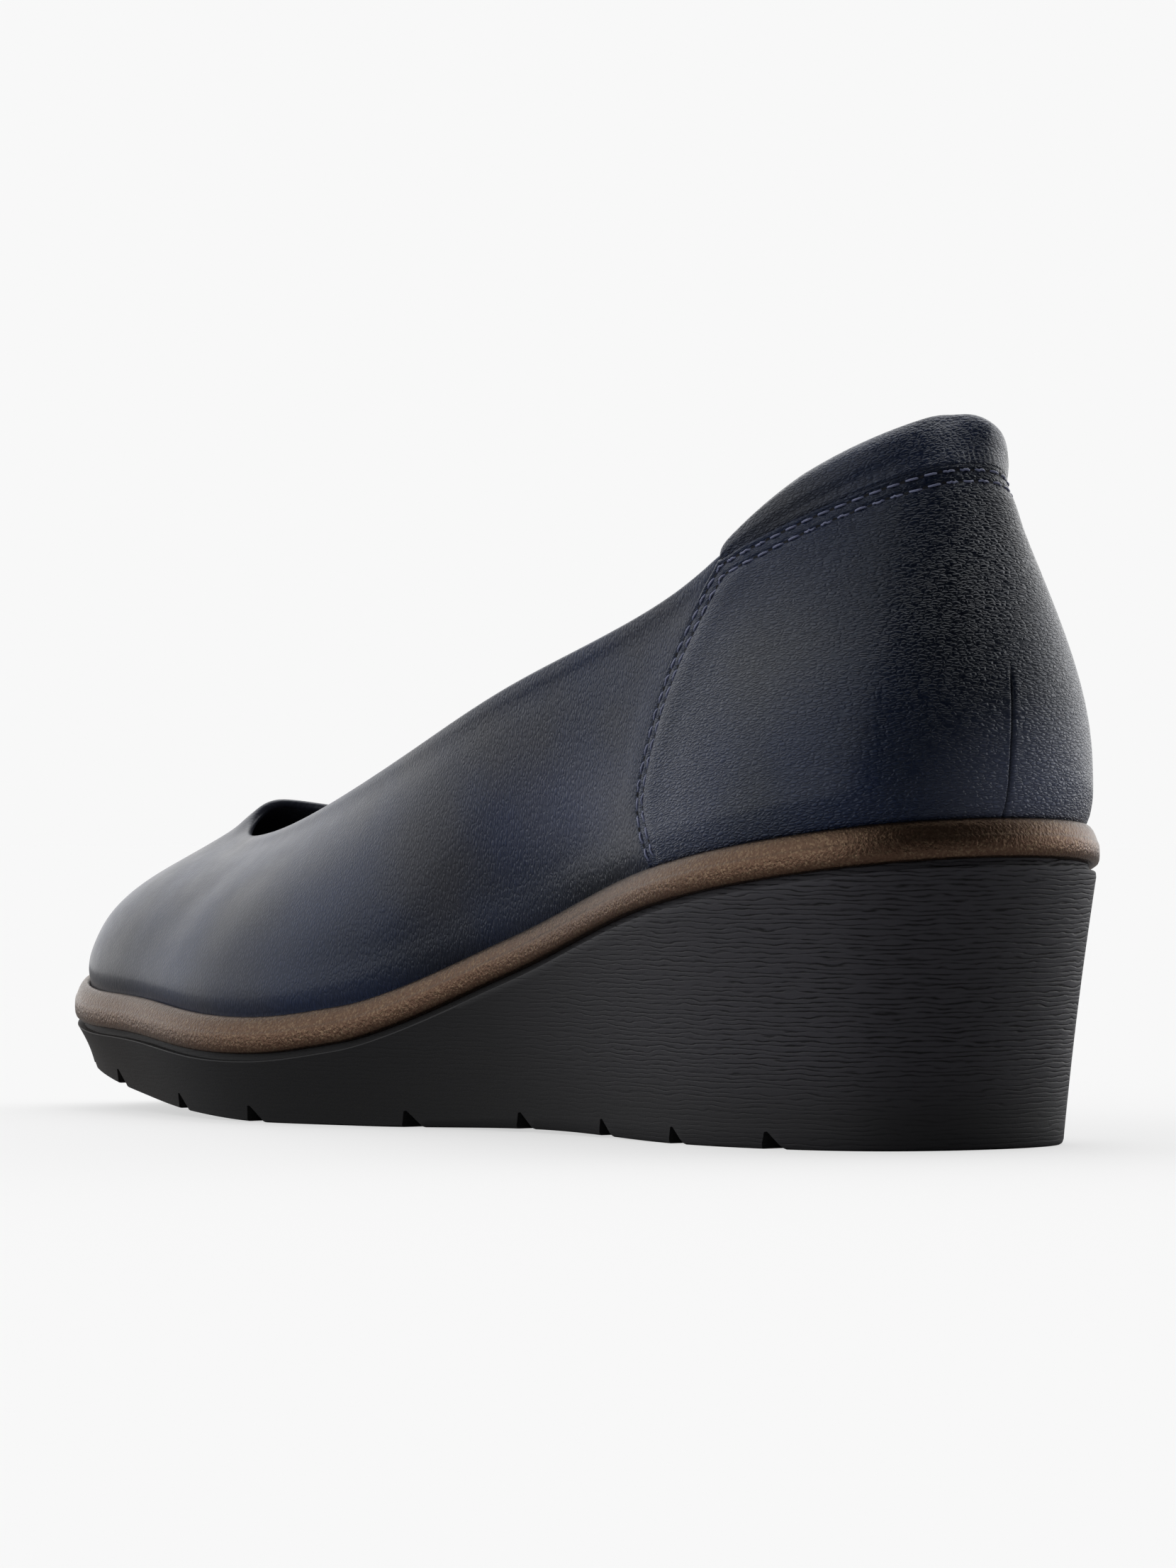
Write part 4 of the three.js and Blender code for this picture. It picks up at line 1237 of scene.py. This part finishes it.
def navy_leather(name, pebble_size, waviness, depth, roughness, patch, marks, upright=False):
    """Leather with pebbles of a given length round the shoe and width up it, in millimetres."""
    material, tree, shader, place = new_material(name)
    if upright:
        axes = split_axes(tree, place)
        skin_map, strength = upright_place(tree, axes), ramp_node(tree, axes[1], *TOE_SMOOTHING)
    else:
        skin_map, strength = skin_place(tree), 1.0
    length, width = pebble_size
    pebbles = use_group(tree, grain, Skin=skin_map, Length=length, Width=width, Waviness=waviness)
    dye = use_group(tree, cloud, Position=place, Size=34.0)
    colour = mix_colour(tree, dye["Mask"], NAVY, patch)
    rough = math_node(tree, "MULTIPLY_ADD", dye["Fine"], 0.16, roughness - 0.08)
    polish = math_node(tree, "MULTIPLY_ADD", dye["Fine"], 0.06, 0.2)
    colour, rough, polish = lay_light_and_shade(tree, place, marks, colour, rough, polish)
    colour = darken(tree, pebbles["Valley"], 0.32, colour, DARK_NAVY)
    # Painted shade in each groove beside seams and folded edges.
    colour = darken(tree, use_group(tree, groove_shade)["Groove"], 0.7, colour, DARK_NAVY)
    height = math_node(tree, "MULTIPLY", pebbles["Height"], strength)
    varied = {"Base Color": colour, "Roughness": rough, "Coat Weight": polish}
    feed(tree, shader, varied | {"Normal": relief(tree, height, depth)} | LEATHER_SHINE)
    return material


smooth_navy = navy_leather(
    "smooth_navy_leather", (0.5, 1.2), 0.8, 0.1, 0.38, srgb(46, 46, 54), VAMP_LIGHT_AND_SHADE, upright=True
)
pebbled_navy = navy_leather(
    "pebbled_navy_leather", (1.2, 0.46), 0.75, 0.13, 0.3, srgb(38, 44, 58), PANEL_LIGHT_AND_SHADE
)
collar_navy = navy_leather(
    "collar_navy_leather", (1.15, 0.46), 0.75, 0.14, 0.26, srgb(44, 47, 56), COLLAR_LIGHT_AND_SHADE
)
print("navy leathers: 3, painted_shade_and_light marks:", len(VAMP_LIGHT_AND_SHADE + PANEL_LIGHT_AND_SHADE + COLLAR_LIGHT_AND_SHADE))

# %% [markdown]
# The lining is a thin, dry textile leather: darker, duller, with an even fine grain. The insole
# shares the grain group with larger pebbles and a softer finish.


# %% Lining and insole
def dry_lining(name, colour, size, roughness):
    """Dull leather with round pebbles of one size, in millimetres."""
    material, tree, shader, _ = new_material(name)
    pebbles = use_group(tree, grain, Skin=skin_place(tree), Length=size, Width=size)
    tone = darken(tree, pebbles["Valley"], 0.5, colour, srgb(10, 11, 14))
    rough = math_node(tree, "MULTIPLY_ADD", pebbles["Height"], 0.1, roughness)
    bumps = relief(tree, pebbles["Height"], 0.05)
    feed(tree, shader, {"Base Color": tone, "Roughness": rough, "Normal": bumps})
    return material


lining_material = dry_lining("lining_cloth", srgb(40, 43, 54), 0.5, 0.62)
insole_material = dry_lining("insole_sock", srgb(52, 50, 52), 0.8, 0.6)
print("linings:", lining_material.name, insole_material.name)

# %% [markdown]
# The rand is sprayed with a bronze paint that holds fine metal flakes. Small cells of chance
# brightness stand for the flakes, which are brighter and more metallic than the paint between
# them. The up-facing top of the roll is painted darker, a painted dark reflection.

# %% Bronze rand
FLAKES_PER_METRE, MOTTLE_PER_METRE = 3000.0, 1900.0
bronze, tree, shader, place = new_material("bronze_rand")
chance = cell_node(tree, place, FLAKES_PER_METRE).outputs["Color"]
chance = add_node(tree, "ShaderNodeSeparateColor", {0: chance}).outputs[0]
flakes = ramp_node(tree, chance, 0.62, 0.95)
mottle = noise_node(tree, place, MOTTLE_PER_METRE)["Fac"]
paint = mix_colour(tree, mottle, srgb(74, 54, 43), srgb(119, 92, 75))
paint = mix_colour(tree, math_node(tree, "MULTIPLY", flakes, 0.2), paint, srgb(190, 170, 140))
facing = split_axes(tree, add_node(tree, "ShaderNodeTexCoord").outputs["Normal"])
# Painted dark reflection: the paint goes darker the more the surface faces up.
painted_top_shade = ramp_node(tree, facing[2], -0.1, 0.6, 0.0, 0.55)
paint = mix_colour(tree, painted_top_shade, paint, srgb(40, 35, 25))
# Painted shade in each groove of the rand.
paint = darken(tree, use_group(tree, groove_shade)["Groove"], 0.8, paint, srgb(24, 18, 15))
bronze_sockets = {
    "Base Color": paint,
    "Metallic": math_node(tree, "MULTIPLY_ADD", flakes, 0.12, 0.86),
    "Roughness": math_node(tree, "MULTIPLY_ADD", mottle, 0.2, 0.22),
    "Normal": relief(tree, mottle, 0.13),
}
feed(tree, shader, bronze_sockets)
print("bronze rand:", len(tree.nodes), "nodes")

# %% [markdown]
# The wedge is moulded rubber with fine wavy ribs, like a stack of thin layers. A sine wave that
# runs up the height gives the ribs. A noise stretched along the sole bends them, and another one
# makes them start and stop. They fade toward the toe and just above the tread.


# %% Ribs of the rubber
RIB_PITCH, RIB_BEND = 0.78, 1.5
BEND_PER_METRE, BREAKS_PER_METRE = (150.0, 150.0, 700.0), (260.0, 260.0, 1500.0)
rubber, tree, shader, place = new_material("ribbed_rubber")


def stretched_noise(stretch):
    """Noise that is long where its number per metre is small."""
    return noise_node(tree, vector_node(tree, "MULTIPLY", place, stretch), 1.0)["Fac"]


axes = split_axes(tree, place)
rise_mm = math_node(tree, "MULTIPLY", axes[2], 1 / MM)
bent = math_node(tree, "MULTIPLY_ADD", stretched_noise(BEND_PER_METRE), RIB_BEND, rise_mm)
wave = math_node(tree, "SINE", math_node(tree, "MULTIPLY", bent, 2 * math.pi / RIB_PITCH))
gaps = math_node(tree, "POWER", math_node(tree, "MULTIPLY_ADD", wave, 0.5, 0.5), 4.0)
ribs = math_node(tree, "SUBTRACT", math_node(tree, "SUBTRACT", 1.0, gaps), 1.0)
unbroken = ramp_node(tree, stretched_noise(BREAKS_PER_METRE), 0.28, 0.6)
ribs = math_node(tree, "MULTIPLY", ribs, unbroken)
toward_heel = ramp_node(tree, axes[1], -20 * MM, -110 * MM, 0.12, 1.0)
above_tread = ramp_node(tree, rise_mm, 5.0, 15.0, 0.3, 1.0)
presence = math_node(tree, "MULTIPLY", toward_heel, above_tread)
rib_height = math_node(tree, "MULTIPLY_ADD", ribs, presence, 1.0)

# %% Ribbed rubber
grit = noise_node(tree, place, 2500.0, 3.0)["Fac"]
# Between the ribs the rubber is painted near black, painted shade in the rib gaps. The ground is
# painted paler up the heel than low down by the tread, as painted light and shade; toward the toe it
# turns a warm grey.
ground = mix_colour(tree, presence, srgb(39, 39, 40), srgb(62, 61, 67))
ground = mix_colour(tree, ramp_node(tree, axes[1], 50 * MM, 120 * MM), ground, srgb(56, 52, 50))
rubber_sockets = {
    "Base Color": mix_colour(tree, rib_height, srgb(16, 16, 18), ground),
    "Roughness": math_node(tree, "MULTIPLY_ADD", grit, 0.14, 0.5),
    "Specular IOR Level": 0.25,
    "Normal": relief(tree, math_node(tree, "MULTIPLY_ADD", grit, 0.15, rib_height), 0.13),
}
feed(tree, shader, rubber_sockets)
print("ribbed rubber:", len(tree.nodes), "nodes")

# %% [markdown]
# The thread is waxed: slate blue, slightly shiny, with a fine twist. The needle holes are only
# dark dishes of painted shade, but a rough dark material with a little noise keeps them from reading
# as paint.

# %% Thread, and painted shade of the needle holes
thread, tree, shader, place = new_material("waxed_thread")
twist = noise_node(tree, place, 5000.0)["Fac"]
blue = mix_colour(tree, twist, srgb(86, 92, 124), srgb(134, 139, 168))
feed(tree, shader, {"Base Color": blue, "Roughness": 0.34, "Normal": relief(tree, twist, 0.04)})
hole_shade_material, tree, shader, place = new_material("needle_hole_shade")
shade_speckle = noise_node(tree, place, 3000.0)["Fac"]
black = mix_colour(tree, shade_speckle, srgb(5, 6, 12), srgb(14, 15, 24))
feed(tree, shader, {"Base Color": black, "Roughness": 0.85})

# %% [markdown]
# Every piece gets its material. The upper takes two, because one hide cannot show both sides:
# navy leather outside, and the dry lining on the faces that were marked when its mesh was made.

# %% Put the materials on
for piece, materials in (
    (upper, (smooth_navy, lining_material)),
    (panel, (pebbled_navy,)),
    (collar, (collar_navy,)),
    (insole, (insole_material,)),
    (rand, (bronze,)),
    (wedge, (rubber,)),
    (stitches, (thread,)),
    (holes, (hole_shade_material,)),
):
    piece.data.materials.clear()
    for material in materials:
        piece.data.materials.append(material)
upper.data.polygons.foreach_set("material_index", lining_faces)
print("materials:", len(bpy.data.materials))

# %% [markdown]
# The camera stands low behind the heel, on the outer side, at the photo's angle. Its place was
# found from the sole's edges in the photo; a long lens keeps the shoe's lines calm.

# %% Camera
CAMERA_PLACE = (-0.70792, -0.96123, 0.05238)
looking = Vector((0.59723, 0.80205, 0.00556)).normalized()
right_hand = Vector((0.80206, -0.59723, 0.0)).normalized()
camera_data = bpy.data.cameras.new("photo_camera")
camera_data.sensor_width = 36.0
camera_data.sensor_fit = "AUTO"
camera_data.lens = 157.55
camera_data.clip_end = 100.0
camera = bpy.data.objects.new("photo_camera", camera_data)
bpy.context.scene.collection.objects.link(camera)
turned = Matrix((right_hand, right_hand.cross(looking), -looking)).transposed().to_4x4()
camera.matrix_world = Matrix.Translation(CAMERA_PLACE) @ turned
bpy.context.scene.camera = camera
print("camera:", camera_data.lens, "mm lens,", round(Vector(CAMERA_PLACE).length, 2), "m away")

# %% [markdown]
# A white studio is mostly soft light from everywhere. Here the world gives it, as a faint even glow
# and four soft lights: one behind the shoe, so that its edges shine, one on each side and one
# above. Area lights would do too, but the polish would mirror their corners, and these fade out.

# %% Light of the studio
BACKDROP = 0.939
AMBIENT = 0.03
# Each soft light: the way to it, the cosines where it starts and is full, and its brightness.
SOFT_LIGHTS = [
    ((0.6, 0.8, 0.2), -0.12, 0.8, 1.35),
    ((-0.95, 0.2, 0.4), 0.6, 0.94, 1.2),
    ((1.0, -0.2, 0.0), 0.72, 0.96, 1.25),
    ((0.3, 0.3, 0.9), 0.8, 0.98, 1.3),
]
world = bpy.data.worlds.new("white_studio")
bpy.context.scene.world = world
world.use_nodes = True
tree = world.node_tree
tree.nodes.clear()
direction = add_node(tree, "ShaderNodeTexCoord").outputs["Generated"]
glow = AMBIENT
for middle, start, full, amount in SOFT_LIGHTS:
    turn = vector_node(tree, "DOT_PRODUCT", direction, tuple(Vector(middle).normalized()))
    soft = ramp_node(tree, turn, start, full, 0.0, amount, "SMOOTHSTEP")
    glow = math_node(tree, "ADD", soft, glow)
light = add_node(tree, "ShaderNodeBackground", {0: (1.0, 1.0, 1.0, 1), 1: glow}).outputs[0]
seen = add_node(tree, "ShaderNodeBackground", {0: (BACKDROP,) * 3 + (1,), 1: 1.0}).outputs[0]
to_camera = add_node(tree, "ShaderNodeLightPath").outputs["Is Camera Ray"]
both = add_node(tree, "ShaderNodeMixShader", {0: to_camera, 1: light, 2: seen})
add_node(tree, "ShaderNodeOutputWorld", {0: both.outputs[0]})
bpy.context.scene.view_settings.view_transform = "Standard"
print("soft lights:", len(SOFT_LIGHTS))

# %% [markdown]
# The floor has to melt into the backdrop and still carry a faint contact shadow. So the light that
# falls on it is added up first, and its paint is chosen to send back the backdrop's white. A fixed
# share of that white, which no shadow can darken, keeps the shadow faint.


# %% How much light falls on the floor
SHADOW_FILL = 0.62


def brightness(way):
    """Studio light that comes from a direction."""
    total = AMBIENT
    for middle, start, full, amount in SOFT_LIGHTS:
        middle = np.array(middle) / np.linalg.norm(middle)
        share = np.clip((way @ middle - start) / (full - start), 0, 1)
        total = total + amount * share**2 * (3 - 2 * share)
    return total


every_turn = np.linspace(0, 2 * math.pi, 181)[:-1]
every_climb = np.radians(np.arange(90) + 0.5)
turns, climbs = np.meshgrid(every_turn, every_climb)
flat_part = np.cos(climbs)
ways = np.stack([np.cos(turns) * flat_part, np.sin(turns) * flat_part, np.sin(climbs)], -1)
weights = flat_part * np.sin(climbs)
floor_light = float((brightness(ways) * weights).sum() / weights.sum())
floor_white = BACKDROP * (1 - SHADOW_FILL) / floor_light
print("floor light:", round(floor_light, 3), "floor paint:", round(floor_white, 3))

# %% Floor
REACH = 12.0
FLOOR_BOUNCE = 0.26
floor_mesh = bpy.data.meshes.new("studio_floor")
corners = [(-REACH, -REACH, 0), (REACH, -REACH, 0), (REACH, REACH, 0), (-REACH, REACH, 0)]
floor_mesh.from_pydata(corners, [], [(0, 1, 2, 3)])
floor = bpy.data.objects.new("studio_floor", floor_mesh)
bpy.context.scene.collection.objects.link(floor)
floor_material, tree, shader, place = new_material("pale_floor")
darker, paler = ((floor_white * share,) * 3 + (1,) for share in (0.997, 1.003))
paint = mix_colour(tree, noise_node(tree, place, 3.0)["Fac"], darker, paler)
seen_directly = add_node(tree, "ShaderNodeLightPath").outputs["Is Camera Ray"]
floor_sockets = {
    "Base Color": mix_colour(tree, seen_directly, (FLOOR_BOUNCE,) * 3 + (1,), paint),
    "Emission Color": (BACKDROP,) * 3 + (1,),
    "Emission Strength": math_node(tree, "MULTIPLY", seen_directly, SHADOW_FILL),
    "Roughness": 0.9,
    "Specular IOR Level": 0.0,
}
feed(tree, shader, floor_sockets)
floor.data.materials.append(floor_material)
